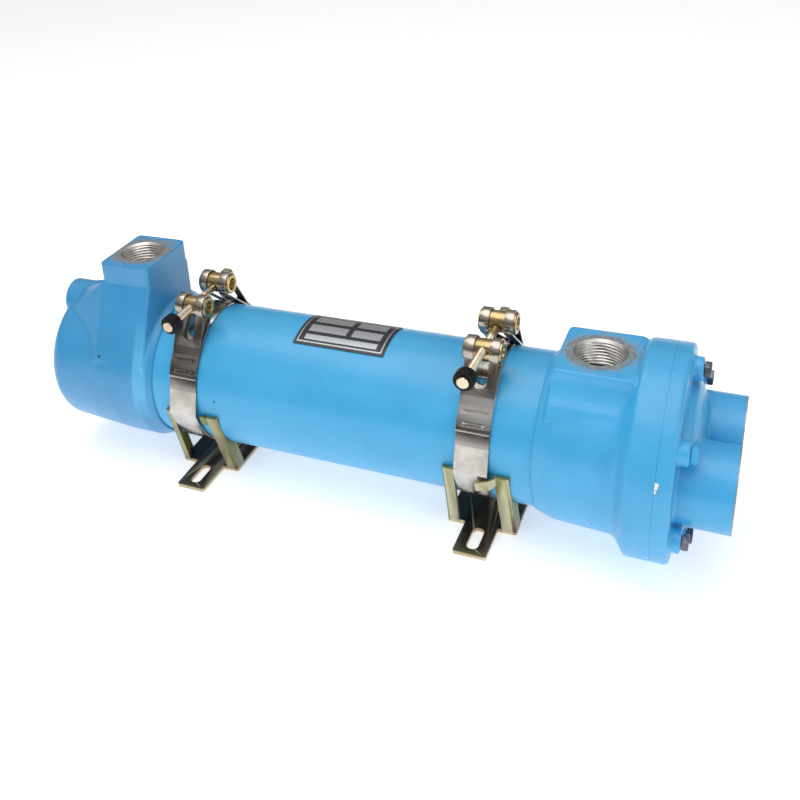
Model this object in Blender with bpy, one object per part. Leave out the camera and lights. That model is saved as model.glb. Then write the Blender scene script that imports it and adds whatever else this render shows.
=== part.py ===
"""Hydraulic oil cooler: a shell-and-tube heat exchanger on two clamp-band feet.

Metres, +Z up. The shell's axis runs along X. The origin is on the floor under the
middle of the object, and the water ports are at +X.
"""

import math

import bmesh
import bpy
from mathutils import Matrix, Vector

MM = 0.001
GAP = 0.3 * MM  # clearance between pieces that touch
CUT_PAST = 1 * MM  # how far a cutter runs past the face it opens
JOIN_INTO = 1 * MM  # how far joined shapes run into each other

# Driving dimensions
AXIS_HEIGHT = 73 * MM
SHELL_RADIUS = 54 * MM
SHELL_WALL = 3 * MM
SEAT_DEPTH = 11 * MM
HALF_LENGTH = 258 * MM
ROUND_SIDES = 48

# Port thread G1: the plain bore stands for the thread's mean diameter
PORT_RADIUS = 16.0 * MM
PORT_SIDES = 24
PORT_CHAMFER = 1.5 * MM
PORT_DEPTH_SHARE = 0.5  # of the shell's radius above the axis, where a port's cutter ends
BOSS_ROOT_SHARE = 0.6  # of the shell's radius above the axis, where a boss starts

# Port end housing, at +X
HOUSING_LIP_X = 136.5 * MM
HOUSING_SHOULDER_X = 148.4 * MM
HOUSING_RADIUS = 60 * MM
HOUSING_DRAFT = 1 * MM  # growth in radius towards the flange
HOUSING_FILLET = (12 * MM, 4 * MM)  # along and out, where the barrel flares into the flange
HOUSING_WALL = 6 * MM
LIP = 1.3 * MM  # thickness of a housing's edge on the shell
HOUSING_BORE = 50 * MM
FLANGE_X = 195.7 * MM
FLANGE_THICKNESS = 17.6 * MM
FLANGE_RADIUS = 72.7 * MM
EDGE_BREAK = 1 * MM
PORT_END_BOSS = {"x": 168.2 * MM, "width": 51.4 * MM, "depth": 60.4 * MM, "height": 66.6 * MM}

# Return end housing, at -X
RETURN_MOUTH_X = -154.5 * MM
RETURN_RADIUS = 60 * MM
RETURN_END_RADIUS = 56.5 * MM
RETURN_EDGE_ROUND = 12 * MM
RETURN_BARREL_X = (-190.3 * MM, -166.4 * MM)  # the full-radius length, tapering to the end before it
RETURN_CHAMFER = (6 * MM, 1.5 * MM)  # along and in, after the full-radius length
RETURN_CORE_TAPER = (8 * MM, 10 * MM)  # along and in, at the hollow's closed end
LUG_STANDOFF = 4 * MM  # the lug's end stands this far past the casting's
RETURN_BOSS = {"x": -182.7 * MM, "width": 44 * MM, "depth": 56 * MM, "height": 97.3 * MM}
LUG_RADIUS = 15.8 * MM
LUG_HEIGHT = 48.3 * MM
LUG_END_X = -HALF_LENGTH
BOSS_HEAD_HEIGHT = 16.3 * MM  # below its face the boss spreads into webs down to the barrel
WEB_INSET = 0.2 * MM  # keeps the webs' corners inside the shapes that they join
LUG_WEB_END = 12 * MM  # the lug's web stops this far before the casting's end
SHOULDER_REAR = (10 * MM, 68 * MM)  # where the web between boss and lug falls away, behind the middle

# Water cover and its bolts
COVER_FLANGE_THICKNESS = 10.1 * MM
COVER_DOME_X = 237 * MM
COVER_DOME_RADIUS = 52 * MM
COVER_DOME_STEPS = ((0, 26 * MM), (2 * MM, 40 * MM), (7 * MM, 48.5 * MM))  # back from the crown, radius
COVER_RIM_BREAK = 1.5 * MM
COVER_CHAMBER_RADIUS = 46 * MM
COVER_CHAMBER_X = 231 * MM
COVER_CHAMBER_STEPS = ((4 * MM, 2 * MM), (0, 8 * MM))  # back from its end, and in from its radius
PASS_WALL = 5 * MM
WATER_BOSS_RADIUS = 28 * MM
WATER_BOSS_Y = 29.5 * MM
COVER_BOLTS = 6
FIRST_BOLT_ANGLE = 35  # above the front horizontal, seen from the water ports
BOLT_CIRCLE = 62 * MM
COVER_BOLT_RADIUS = 3 * MM
BOLT_SIDES = 12
BOLT_HOLE_FLOOR = 2 * MM  # left at the bottom of a blind hole
COVER_BOLT_HEAD = 10 * MM
COVER_BOLT_HEAD_HEIGHT = 4 * MM
COVER_BOLT_PAD_RADIUS = 8 * MM
COVER_BOLT_PAD = 7 * MM

# Tube bundle
TUBE_SHEET_THICKNESS = 5 * MM
TUBE_SHEET_RADIUS = 55.5 * MM
GASKET_THICKNESS = 1 * MM
U_TUBE_RADIUS = 4 * MM
U_TUBE_BORE = 3 * MM
U_TUBE_ROWS = {  # half spacings of the legs, by the row's height above the axis
    0.0: (11 * MM, 25 * MM, 39 * MM),
    18 * MM: (11 * MM, 28 * MM),
    -18 * MM: (11 * MM, 28 * MM),
}
U_BEND_X = -150 * MM
U_TUBE_SIDES = 10
BAFFLES = 5
BAFFLE_SPAN = (-125 * MM, 120 * MM)
BAFFLE_CLEARANCE = 0.6 * MM
BAFFLE_THICKNESS = 2 * MM
BAFFLE_CUT = 22 * MM
TIE_ROD_RADIUS = 3 * MM
TIE_ROD_Z = 36 * MM
TIE_ROD_END_X = -130 * MM
GASKET_RIM = 1.5 * MM  # the gaskets' bore is this much larger than the water chamber

# Clamps
CLAMP_X = {"right": 97.6 * MM, "left": -126.1 * MM}
CLAMP_LEAN = 3.5  # degrees that the screws sit round the shell, off its top towards the front
BAND_WIDTH = 23 * MM
BAND_THICKNESS = 1.2 * MM
BAND_STEP = 5  # degrees between points of the band's path on the shell
LOOP_STEP = 18  # degrees between its points round a trunnion
FOLD_END = 26  # degrees above the front horizontal where the folded-back end stops
FOLD_TOP = 45  # where it lifts off the band towards its loops
FOLD_PINCH = -30  # degrees round the trunnion where the loop closes in
TRUNNION_RADIUS = 7.7 * MM
TRUNNION_LENGTH = 26 * MM
TRUNNION_Y = 18.3 * MM
TRUNNION_HEIGHT = 70 * MM  # above the shell's axis
FORK_WIDTH = 10.6 * MM
FORK_ROOT_HEIGHT = 47 * MM  # above the shell's axis
CLAMP_BOLT_RADIUS = 3 * MM
CLAMP_BOLT_TILT = {"right": 2.3, "left": 0.0}  # degrees that the tail points up
CLAMP_BOLT_TAIL = {"right": 67.9 * MM, "left": 56 * MM}  # from midway between the trunnions
CLAMP_BOLT_HEAD = 10 * MM
CLAMP_BOLT_HEAD_HEIGHT = 6 * MM
SHOULDER_RADIUS = 4 * MM
HEAD_STANDOFF = 2.4 * MM  # clears the loops' legs below the head
TAIL_COLLAR = 4 * MM
TAIL_POINT = 0.5 * MM  # the collar's end past the tail
RETAINER_RADIUS = 7 * MM
RETAINER_LENGTH = 9 * MM
RETAINER_START = 1.5 * MM  # from the tail's end
BRIDGE_HALF_ANGLE = 24
BRIDGE_WIDTH = 20 * MM
BRIDGE_THICKNESS = 1 * MM

# Brackets
SHEET = 3.2 * MM
BRACKET_HALF_WIDTH = 25.1 * MM
BRACKET_HALF_DEPTH = 31.8 * MM
TAB_HALF_WIDTH = 11.7 * MM
TAB_TIP_Y = 64.1 * MM
SLOT_Y = 47.3 * MM
SLOT_WIDTH = 8.5 * MM
SLOT_LENGTH = 23 * MM
POSTS = {  # each post's width and how far its top leans to +X, by the clamp and the post's side
    ("right", -1): (8.6 * MM, 4.6 * MM),
    ("right", 1): (10 * MM, 0.6 * MM),
    ("left", -1): (6.3 * MM, 8 * MM),
    ("left", 1): (8.5 * MM, 3 * MM),
}
POST_TOP_Z = 66.5 * MM
POST_TOP_Y = 57.6 * MM  # the posts lean on the shell
POST_FOOT_Z = 0.6 * MM  # where the posts grow out of the base plate
CHEEK_DEPTH = 12 * MM
SHAVE = 0.15 * MM  # keeps the joined shapes' faces from coinciding
TONGUE_HEIGHT = 9 * MM
TONGUE_REACH = 6 * MM
OUTER_TONGUE_REACH = 11.5 * MM  # of the one tongue that lies over the band
OUTER_TONGUE_STEP = 5.9 * MM  # how far it is set out to clear the band
OUTER_TONGUE_DROP = 3 * MM  # its tip is this much lower than the post
JOGGLE = (1 * MM, 2.5 * MM)  # before and past the post's inner edge, where it steps out
JOGGLE_SHIFT = 0.7 * MM  # of its inner face, which keeps the web's thickness

# Name plate
PLATE_X = -10.3 * MM
PLATE_WIDTH = 70 * MM
PLATE_ARC = (66.2, 111.5)  # degrees above the front horizontal
PLATE_THICKNESS = 0.6 * MM


# Scene and mesh helpers

def clear_scene():
    for old in list(bpy.data.objects):
        bpy.data.objects.remove(old, do_unlink=True)


def material(name, color, roughness, metallic):
    made = bpy.data.materials.new(name)
    made.use_nodes = True
    shader = made.node_tree.nodes["Principled BSDF"]
    shader.inputs["Base Color"].default_value = (*color, 1.0)
    shader.inputs["Roughness"].default_value = roughness
    shader.inputs["Metallic"].default_value = metallic
    return made


def make_object(name, bm, finish=None):
    bmesh.ops.recalc_face_normals(bm, faces=bm.faces)
    mesh = bpy.data.meshes.new(name)
    bm.to_mesh(mesh)
    bm.free()
    mesh.shade_smooth()
    mesh.set_sharp_from_angle(angle=math.radians(32))
    made = bpy.data.objects.new(name, mesh)
    bpy.context.scene.collection.objects.link(made)
    if finish:
        mesh.materials.append(finish)
    return made


def helper(name, bm):
    made = make_object(name, bm)
    made.hide_render = True
    made.display_type = "WIRE"
    return made


def combine(target, other, operation):
    change = target.modifiers.new(other.name, "BOOLEAN")
    change.operation = operation
    change.solver = "EXACT"
    change.object = other


def cut(target, *cutters):
    for cutter in cutters:
        combine(target, cutter, "DIFFERENCE")


def join(target, *others):
    for other in others:
        combine(target, other, "UNION")


def arc(center, radius, start, end, steps):
    """Points on a circle in a plane, with its angles in degrees."""
    points = []
    for step in range(steps + 1):
        angle = math.radians(start + (end - start) * step / steps)
        points.append((center[0] + radius * math.cos(angle), center[1] + radius * math.sin(angle)))
    return points


def turned(profile, sides=ROUND_SIDES):
    """A closed solid turned about X from (x, radius) points, with radius 0 where it meets the axis."""
    bm = bmesh.new()
    rings = []
    for x, radius in profile:
        if radius == 0:
            rings.append([bm.verts.new((x, 0, 0))] * sides)
            continue
        ring = []
        for side in range(sides):
            angle = 2 * math.pi * side / sides
            ring.append(bm.verts.new((x, radius * math.cos(angle), radius * math.sin(angle))))
        rings.append(ring)
    for first, second in zip(rings, rings[1:] + rings[:1]):
        for side in range(sides):
            after = (side + 1) % sides
            corners = [first[side], first[after], second[after], second[side]]
            distinct = list(dict.fromkeys(corners))
            if len(distinct) > 2:
                bm.faces.new(distinct)
    return bm


def prism(outline, low, high, axis="X"):
    """An outline of two coordinates, extruded along the third axis from low to high."""
    place = {
        "X": lambda a, b, c: (c, a, b),
        "Y": lambda a, b, c: (a, c, b),
        "Z": lambda a, b, c: (a, b, c),
    }[axis]
    bm = bmesh.new()
    ends = []
    for level in (low, high):
        ends.append([bm.verts.new(place(a, b, level)) for a, b in outline])
    count = len(outline)
    bm.faces.new(ends[0])
    bm.faces.new(list(reversed(ends[1])))
    for i in range(count):
        after = (i + 1) % count
        bm.faces.new((ends[0][i], ends[1][i], ends[1][after], ends[0][after]))
    return bm


def box(low, high):
    outline = [(low[0], low[1]), (high[0], low[1]), (high[0], high[1]), (low[0], high[1])]
    return prism(outline, low[2], high[2], "Z")


def rod(radius, low, high, axis, sides, center=(0.0, 0.0)):
    """A round bar along an axis, centred on the two other coordinates, in X, Y, Z order."""
    outline = arc(center, radius, 0, 360 - 360 / sides, sides - 1)
    return prism(outline, low, high, axis)


def moved(bm, offset):
    bmesh.ops.translate(bm, verts=bm.verts, vec=Vector(offset))
    return bm


def on_axis(bm):
    """Lifts a mesh made about the X axis to the shell's axis."""
    return moved(bm, (0, 0, AXIS_HEIGHT))


def set_origin(obj, point):
    """Puts the object's origin at a point without moving its shape."""
    offset = Vector(point)
    obj.data.transform(Matrix.Translation(-offset))
    obj.location = offset


# Finishes

def make_finishes():
    return {
        "blue": material("blue_enamel", (0.10, 0.38, 0.72), 0.38, 0.0),
        "stainless": material("stainless_band", (0.62, 0.60, 0.57), 0.22, 1.0),
        "zinc": material("yellow_zinc", (0.55, 0.48, 0.22), 0.35, 1.0),
        "bolt": material("bright_steel", (0.72, 0.70, 0.66), 0.25, 1.0),
        "black": material("black_nylon", (0.02, 0.02, 0.02), 0.45, 0.0),
        "plate": material("name_plate", (0.04, 0.04, 0.05), 0.3, 0.6),
        "copper": material("copper_tube", (0.72, 0.38, 0.22), 0.35, 1.0),
        "brass": material("brass_sheet", (0.70, 0.55, 0.25), 0.35, 1.0),
        "gasket": material("gasket_fibre", (0.12, 0.14, 0.12), 0.85, 0.0),
    }


# Shell and housings

def make_shell(finishes):
    """A plain tube, seated in both housings."""
    low = RETURN_MOUTH_X - SEAT_DEPTH
    high = HOUSING_LIP_X + SEAT_DEPTH
    inner = SHELL_RADIUS - SHELL_WALL
    profile = [(low, inner), (low, SHELL_RADIUS), (high, SHELL_RADIUS), (high, inner)]
    return make_object("shell_tube", on_axis(turned(profile)), finishes["blue"])


def port_boss(name, boss):
    """The square boss that stands on a housing round an oil port."""
    root = AXIS_HEIGHT + SHELL_RADIUS * BOSS_ROOT_SHARE
    low = (boss["x"] - boss["width"] / 2, -boss["depth"] / 2, root)
    high = (boss["x"] + boss["width"] / 2, boss["depth"] / 2, AXIS_HEIGHT + boss["height"])
    return helper(name, box(low, high))


def port_cutter(name, boss):
    """The bore of an oil port, with the chamfer at its mouth, down into the housing."""
    top = AXIS_HEIGHT + boss["height"]
    bottom = AXIS_HEIGHT + SHELL_RADIUS * PORT_DEPTH_SHARE
    wide = PORT_RADIUS + PORT_CHAMFER
    profile = [(bottom, 0), (bottom, PORT_RADIUS), (top - PORT_CHAMFER, PORT_RADIUS), (top, wide)]
    profile += [(top + PORT_CHAMFER, wide + PORT_CHAMFER), (top + PORT_CHAMFER, 0)]
    bm = turned(profile, PORT_SIDES)
    bmesh.ops.rotate(bm, verts=bm.verts, matrix=Matrix.Rotation(-math.pi / 2, 3, "Y"))
    return helper(name, moved(bm, (boss["x"], 0, 0)))


def make_port_end_housing(finishes):
    """The casting at +X: it takes the shell, carries an oil port and ends in the bolted flange."""
    seat = SHELL_RADIUS + GAP
    seat_end = HOUSING_LIP_X + SEAT_DEPTH + GAP
    bore = HOUSING_BORE
    back = FLANGE_X + FLANGE_THICKNESS
    inner = [(back, bore), (seat_end, bore), (seat_end, seat), (HOUSING_LIP_X, seat)]
    along, out = HOUSING_FILLET
    barrel = HOUSING_RADIUS + HOUSING_DRAFT
    outer = [(HOUSING_LIP_X, seat + LIP), (HOUSING_SHOULDER_X, HOUSING_RADIUS - HOUSING_DRAFT / 2)]
    outer += [(FLANGE_X - along, barrel), (FLANGE_X - along / 3, barrel + out)]
    outer += [(FLANGE_X, FLANGE_RADIUS - EDGE_BREAK), (FLANGE_X + EDGE_BREAK, FLANGE_RADIUS)]
    outer += [(back, FLANGE_RADIUS)]
    housing = make_object("port_end_housing", on_axis(turned(inner + outer)), finishes["blue"])
    join(housing, port_boss("port_end_boss", PORT_END_BOSS))
    front = HOUSING_LIP_X - CUT_PAST
    past = back + CUT_PAST
    inside = [(front, 0), (front, seat), (seat_end, seat), (seat_end, bore), (past, bore), (past, 0)]
    clear = helper("port_end_bore", on_axis(turned(inside)))
    cut(housing, clear, port_cutter("port_end_port", PORT_END_BOSS))
    cut(housing, *bolt_holes("flange_bolt_hole", COVER_BOLT_RADIUS + GAP))
    return housing


def loft(first, second, low, high):
    """A solid along X between two outlines with the same number of points."""
    bm = prism(first, low, high, "X")
    for vert, (y, z) in zip(list(bm.verts)[len(first):], second):
        vert.co.y = y
        vert.co.z = z
    bmesh.ops.triangulate(bm, faces=bm.faces)
    return bm


def casting_webs():
    """The front flank from the boss's head down to the barrel, and its run-out to the lug, as helpers."""
    boss = RETURN_BOSS
    half = boss["depth"] / 2 - WEB_INSET
    root = boss["height"] - BOSS_HEAD_HEIGHT
    barrel = RETURN_RADIUS - WEB_INSET
    touch = math.atan2(root, half) - math.acos(barrel / math.hypot(half, root))
    foot = (-barrel * math.cos(touch), barrel * math.sin(touch))
    top = root + 2 * JOIN_INTO
    outline = [(0, 0), (foot[0], 0), foot, (-half, root), (-half, top), (half, top), (half, 0)]
    left, right = boss["x"] - boss["width"] / 2, boss["x"] + boss["width"] / 2
    flank = prism(outline, left + WEB_INSET, right - WEB_INSET, "X")
    end = RETURN_END_RADIUS - WEB_INSET
    touch = math.asin((end - LUG_RADIUS) / LUG_HEIGHT)
    lug = LUG_RADIUS - WEB_INSET
    high = (lug * math.cos(touch), LUG_HEIGHT + lug * math.sin(touch))
    low = (end * math.cos(touch), end * math.sin(touch))
    at_lug = [(0, 0), (-end, 0), (-low[0], low[1]), (-high[0], high[1]), high, low]
    inset = 2 * WEB_INSET
    at_boss = [(0, 0), (foot[0] + inset, 0), (foot[0] + inset, foot[1]), (inset - half, root - inset)]
    at_boss += [SHOULDER_REAR, low]
    run_out = loft(at_lug, at_boss, LUG_END_X + LUG_STANDOFF + LUG_WEB_END, left + JOIN_INTO)
    return helper("boss_flank", on_axis(flank)), helper("lug_web", on_axis(run_out))


def make_return_end_housing(finishes):
    """The closed casting at -X, with an oil port and the round lug on its end."""
    seat = SHELL_RADIUS + GAP
    seat_end = RETURN_MOUTH_X - SEAT_DEPTH - GAP
    end = LUG_END_X + LUG_STANDOFF
    closed = end + HOUSING_WALL
    bore = RETURN_END_RADIUS - HOUSING_WALL
    edge = RETURN_EDGE_ROUND
    outer = [(end, 0)]
    outer += arc((end + edge, RETURN_END_RADIUS - edge), edge, 180, 90, 5)
    full, edge_x = RETURN_BARREL_X
    along, into = RETURN_CHAMFER
    outer += [(full, RETURN_RADIUS), (edge_x, RETURN_RADIUS), (edge_x + along, RETURN_RADIUS - into)]
    outer += [(RETURN_MOUTH_X, seat + LIP)]
    taper, shrink = RETURN_CORE_TAPER
    core = [(seat_end, seat), (seat_end, bore), (closed + taper, bore), (closed, bore - shrink)]
    core.append((closed, 0))
    inner = [(RETURN_MOUTH_X, seat)] + core
    housing = make_object("return_end_housing", on_axis(turned(outer + inner)), finishes["blue"])
    lug = rod(LUG_RADIUS, LUG_END_X, RETURN_BOSS["x"], "X", 24, (0.0, LUG_HEIGHT))
    join(housing, helper("end_lug", on_axis(lug)), *casting_webs())
    join(housing, port_boss("return_end_boss", RETURN_BOSS))
    past = RETURN_MOUTH_X + CUT_PAST
    clear = helper("return_end_bore", on_axis(turned([(past, 0), (past, seat)] + core)))
    cut(housing, clear, port_cutter("return_end_port", RETURN_BOSS))
    return housing


def bolt_angles():
    return [math.radians(FIRST_BOLT_ANGLE + 360 / COVER_BOLTS * i) for i in range(COVER_BOLTS)]


def bolt_centers():
    return [(-BOLT_CIRCLE * math.cos(a), AXIS_HEIGHT + BOLT_CIRCLE * math.sin(a)) for a in bolt_angles()]


def bolt_holes(name, radius):
    """Cutters for the ring of cover bolts, from the housing's flange out past the cover."""
    made = []
    for i, center in enumerate(bolt_centers()):
        bm = rod(radius, FLANGE_X + BOLT_HOLE_FLOOR, HALF_LENGTH, "X", BOLT_SIDES, center)
        made.append(helper(f"{name}_{i + 1}", bm))
    return made


def stack_x():
    """Left faces of gasket, tube sheet, gasket and cover floor, inside the cover's recess."""
    faces = [FLANGE_X + FLANGE_THICKNESS + GAP]
    for thickness in (GASKET_THICKNESS, TUBE_SHEET_THICKNESS, GASKET_THICKNESS):
        faces.append(faces[-1] + thickness + GAP)
    return faces


# Water cover and its bolts

def make_water_cover(finishes):
    """The bolted cover at +X: a shallow dome with two side-by-side water ports and a pass wall."""
    face = FLANGE_X + FLANGE_THICKNESS + GAP
    outside = face + COVER_FLANGE_THICKNESS
    floor = stack_x()[3]
    recess = TUBE_SHEET_RADIUS + GAP
    outer = [(COVER_DOME_X, 0)] + [(COVER_DOME_X - back, radius) for back, radius in COVER_DOME_STEPS]
    outer += [(outside, COVER_DOME_RADIUS), (outside, FLANGE_RADIUS - COVER_RIM_BREAK)]
    outer += [(outside - COVER_RIM_BREAK, FLANGE_RADIUS), (face, FLANGE_RADIUS)]
    inner = [(face, recess), (floor, recess), (floor, COVER_CHAMBER_RADIUS)]
    inner += [(COVER_CHAMBER_X - back, COVER_CHAMBER_RADIUS - less) for back, less in COVER_CHAMBER_STEPS]
    inner += [(COVER_CHAMBER_X, 0)]
    cover = make_object("water_cover", on_axis(turned(list(reversed(outer + inner)))), finishes["blue"])
    for i, side in enumerate((-1, 1)):
        center = (side * WATER_BOSS_Y, AXIS_HEIGHT)
        boss = rod(WATER_BOSS_RADIUS, COVER_CHAMBER_X + JOIN_INTO, HALF_LENGTH, "X", 36, center)
        join(cover, helper(f"water_boss_{i + 1}", boss))
    reach = COVER_CHAMBER_RADIUS + JOIN_INTO
    wall = box((floor, -PASS_WALL / 2, AXIS_HEIGHT - reach),
               (COVER_CHAMBER_X + JOIN_INTO, PASS_WALL / 2, AXIS_HEIGHT + reach))
    join(cover, helper("pass_wall", wall))
    for i, center in enumerate(bolt_centers()):
        pad = rod(COVER_BOLT_PAD_RADIUS, outside - JOIN_INTO, outside + COVER_BOLT_PAD, "X", 16, center)
        join(cover, helper(f"bolt_pad_{i + 1}", pad))
    for i, side in enumerate((-1, 1)):
        center = (side * WATER_BOSS_Y, AXIS_HEIGHT)
        wide = PORT_RADIUS + PORT_CHAMFER
        profile = [(HALF_LENGTH + PORT_CHAMFER, 0), (HALF_LENGTH + PORT_CHAMFER, wide + PORT_CHAMFER)]
        profile += [(HALF_LENGTH, wide), (HALF_LENGTH - PORT_CHAMFER, PORT_RADIUS)]
        profile += [(COVER_CHAMBER_X - 3 * CUT_PAST, PORT_RADIUS), (COVER_CHAMBER_X - 3 * CUT_PAST, 0)]
        port = moved(turned(profile, PORT_SIDES), (0, *center))
        cut(cover, helper(f"water_port_{i + 1}", port))
    cut(cover, *bolt_holes("cover_bolt_hole", COVER_BOLT_RADIUS + GAP))
    return cover


def make_cover_bolts(finishes):
    """Six hex bolts through the cover into the housing's flange."""
    head_x = FLANGE_X + FLANGE_THICKNESS + GAP + COVER_FLANGE_THICKNESS + COVER_BOLT_PAD + GAP
    for i, center in enumerate(bolt_centers()):
        tip = FLANGE_X + BOLT_HOLE_FLOOR + 1 * MM
        shank = rod(COVER_BOLT_RADIUS, tip, head_x + JOIN_INTO, "X", BOLT_SIDES, center)
        bolt = make_object(f"cover_bolt_{i + 1}", shank, finishes["bolt"])
        across_corners = COVER_BOLT_HEAD / math.cos(math.radians(30)) / 2
        head = rod(across_corners, head_x, head_x + COVER_BOLT_HEAD_HEIGHT, "X", 6, center)
        join(bolt, helper(f"bolt_head_{i + 1}", head))


# Tube bundle

def u_tube_places():
    """(height above the axis, half spacing) of every U tube."""
    return [(z, reach) for z, row in U_TUBE_ROWS.items() for reach in row]


def leg_centers():
    return [(side * reach, AXIS_HEIGHT + z) for z, reach in u_tube_places() for side in (-1, 1)]


def rod_centers():
    return [(0.0, AXIS_HEIGHT + side * TIE_ROD_Z) for side in (-1, 1)]


def pierce(plate, name, centers, radius, low, high):
    for i, center in enumerate(centers):
        cut(plate, helper(f"{name}_{i + 1}", rod(radius, low, high, "X", U_TUBE_SIDES, center)))


def make_tube_sheet(finishes):
    low = stack_x()[1]
    high = low + TUBE_SHEET_THICKNESS
    sheet = make_object("tube_sheet", rod(TUBE_SHEET_RADIUS, low, high, "X", 36, (0.0, AXIS_HEIGHT)),
                        finishes["brass"])
    pierce(sheet, "sheet_hole", leg_centers(), U_TUBE_RADIUS + GAP, low - CUT_PAST, high + CUT_PAST)
    return sheet


def make_gaskets(finishes):
    inside = COVER_CHAMBER_RADIUS + GASKET_RIM
    for name, low in (("shell_side_gasket", stack_x()[0]), ("cover_side_gasket", stack_x()[2])):
        high = low + GASKET_THICKNESS
        ring = [(low, inside), (low, TUBE_SHEET_RADIUS), (high, TUBE_SHEET_RADIUS), (high, inside)]
        make_object(name, on_axis(turned(ring, 36)), finishes["gasket"])


def sweep(points, radii, sides):
    """A hollow tube in a plane of constant Z, along points of (x, y), open at both ends."""
    bm = bmesh.new()
    loops = {}
    for radius in radii:
        rings = []
        for i, (x, y) in enumerate(points):
            before = Vector(points[max(i - 1, 0)])
            after = Vector(points[min(i + 1, len(points) - 1)])
            along = (after - before).normalized()
            side = Vector((-along.y, along.x, 0))
            ring = []
            for step in range(sides):
                angle = 2 * math.pi * step / sides
                offset = side * radius * math.cos(angle) + Vector((0, 0, radius * math.sin(angle)))
                ring.append(bm.verts.new(Vector((x, y, 0)) + offset))
            rings.append(ring)
        loops[radius] = rings
    outside, inside = (loops[radius] for radius in radii)
    for rings, flip in ((outside, False), (inside, True)):
        for first, second in zip(rings, rings[1:]):
            for i in range(sides):
                after = (i + 1) % sides
                corners = [first[i], first[after], second[after], second[i]]
                bm.faces.new(list(reversed(corners)) if flip else corners)
    for end in (0, -1):
        for i in range(sides):
            after = (i + 1) % sides
            bm.faces.new((outside[end][i], outside[end][after], inside[end][after], inside[end][i]))
    return bm


def make_u_tubes(finishes):
    """Water runs out along the front legs and back along the rear ones."""
    for i, (z, reach) in enumerate(u_tube_places()):
        start = stack_x()[1] + TUBE_SHEET_THICKNESS
        bend = arc((U_BEND_X, 0.0), reach, -90, -270, 8)
        path = [(start, -reach)] + bend + [(start, reach)]
        bm = moved(sweep(path, (U_TUBE_RADIUS, U_TUBE_BORE), U_TUBE_SIDES), (0, 0, AXIS_HEIGHT + z))
        make_object(f"u_tube_{i + 1}", bm, finishes["copper"])


def make_baffles(finishes):
    """Segment plates, cut away at the top and at the bottom in turn, that send the oil to and fro."""
    first, last = BAFFLE_SPAN
    radius = SHELL_RADIUS - SHELL_WALL - BAFFLE_CLEARANCE
    for i in range(BAFFLES):
        low = first + (last - first) * i / (BAFFLES - 1)
        high = low + BAFFLE_THICKNESS
        plate = make_object(f"baffle_{i + 1}", rod(radius, low, high, "X", 32, (0.0, AXIS_HEIGHT)),
                            finishes["brass"])
        side = 1 if i % 2 == 0 else -1
        edge = AXIS_HEIGHT + side * (radius - BAFFLE_CUT)
        far = AXIS_HEIGHT + side * 2 * radius
        window = box((low - CUT_PAST, -radius * 2, min(edge, far)),
                     (high + CUT_PAST, radius * 2, max(edge, far)))
        cut(plate, helper(f"baffle_window_{i + 1}", window))
        kept = [c for c in leg_centers() + rod_centers() if (edge - c[1]) * side > 2 * U_TUBE_RADIUS]
        pierce(plate, f"baffle_hole_{i + 1}", kept, U_TUBE_RADIUS + GAP, low - CUT_PAST, high + CUT_PAST)


def make_tie_rods(finishes):
    """Rods that hold the baffles at their spacing, from the tube sheet to the last baffle."""
    for i, center in enumerate(rod_centers()):
        bar = rod(TIE_ROD_RADIUS, TIE_ROD_END_X, stack_x()[1] - GAP, "X", 8, center)
        make_object(f"tie_rod_{i + 1}", bar, finishes["bolt"])


# Clamps

def around(radius, angle, center=(0.0, 0.0)):
    """A point at an angle in degrees: 0 points away from the axis level with it, 90 points up."""
    return Vector((center[0] + radius * math.cos(math.radians(angle)),
                   center[1] + radius * math.sin(math.radians(angle))))


def tongue_corners():
    """The two outer corners of a post's tongue, as (distance from the axis plane, height above it)."""
    high = (POST_TOP_Y, POST_TOP_Z - AXIS_HEIGHT)
    low_z = POST_TOP_Z - TONGUE_HEIGHT
    low = (post_lean(low_z), low_z - AXIS_HEIGHT)
    return high, low


def sweep_angles(start, end, step_size):
    steps = max(1, round(abs(end - start) / step_size))
    return [start + (end - start) * step / steps for step in range(steps + 1)]


def band_half_path(lean):
    """The band's middle line on one side, from its folded end over the trunnion to the bottom.

    lean is how far, in degrees, this side's trunnion sits round towards the horizontal.
    """
    lift = GAP + BAND_THICKNESS / 2
    tube = SHELL_RADIUS + lift
    second = tube + BAND_THICKNESS + GAP
    loop = TRUNNION_RADIUS + lift
    reach = math.hypot(TRUNNION_Y, TRUNNION_HEIGHT)
    bearing = math.degrees(math.atan2(TRUNNION_HEIGHT, TRUNNION_Y)) - lean
    trunnion = around(reach, bearing)
    inner = bearing - math.degrees(math.acos((tube + loop) / reach))
    fold = sweep_angles(FOLD_END - lean, FOLD_TOP - lean, BAND_STEP)
    over = sweep_angles(FOLD_PINCH - lean, inner + 180, LOOP_STEP)
    path = [around(second, angle) for angle in fold]
    path += [around(loop, angle, trunnion) for angle in over]
    corners = []
    for corner in tongue_corners():
        corners.append((math.hypot(*corner) + lift, math.degrees(math.atan2(corner[1], corner[0]))))
    (high, high_angle), (low, low_angle) = corners
    leaves = high_angle + math.degrees(math.acos(tube / high))
    returns = low_angle - math.degrees(math.acos(tube / low))
    path += [around(tube, angle) for angle in sweep_angles(inner, leaves, BAND_STEP)]
    path += [around(high, high_angle), around(low, low_angle)]
    path += [around(tube, angle) for angle in sweep_angles(returns, -90, BAND_STEP)]
    return path


def ribbon(path, thickness):
    """The outline of a strip of even thickness along a path."""
    sides = ([], [])
    for i, point in enumerate(path):
        along = (path[min(i + 1, len(path) - 1)] - path[max(i - 1, 0)]).normalized()
        normal = Vector((-along.y, along.x)) * thickness / 2
        sides[0].append(point + normal)
        sides[1].append(point - normal)
    return sides[0] + list(reversed(sides[1]))


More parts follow.
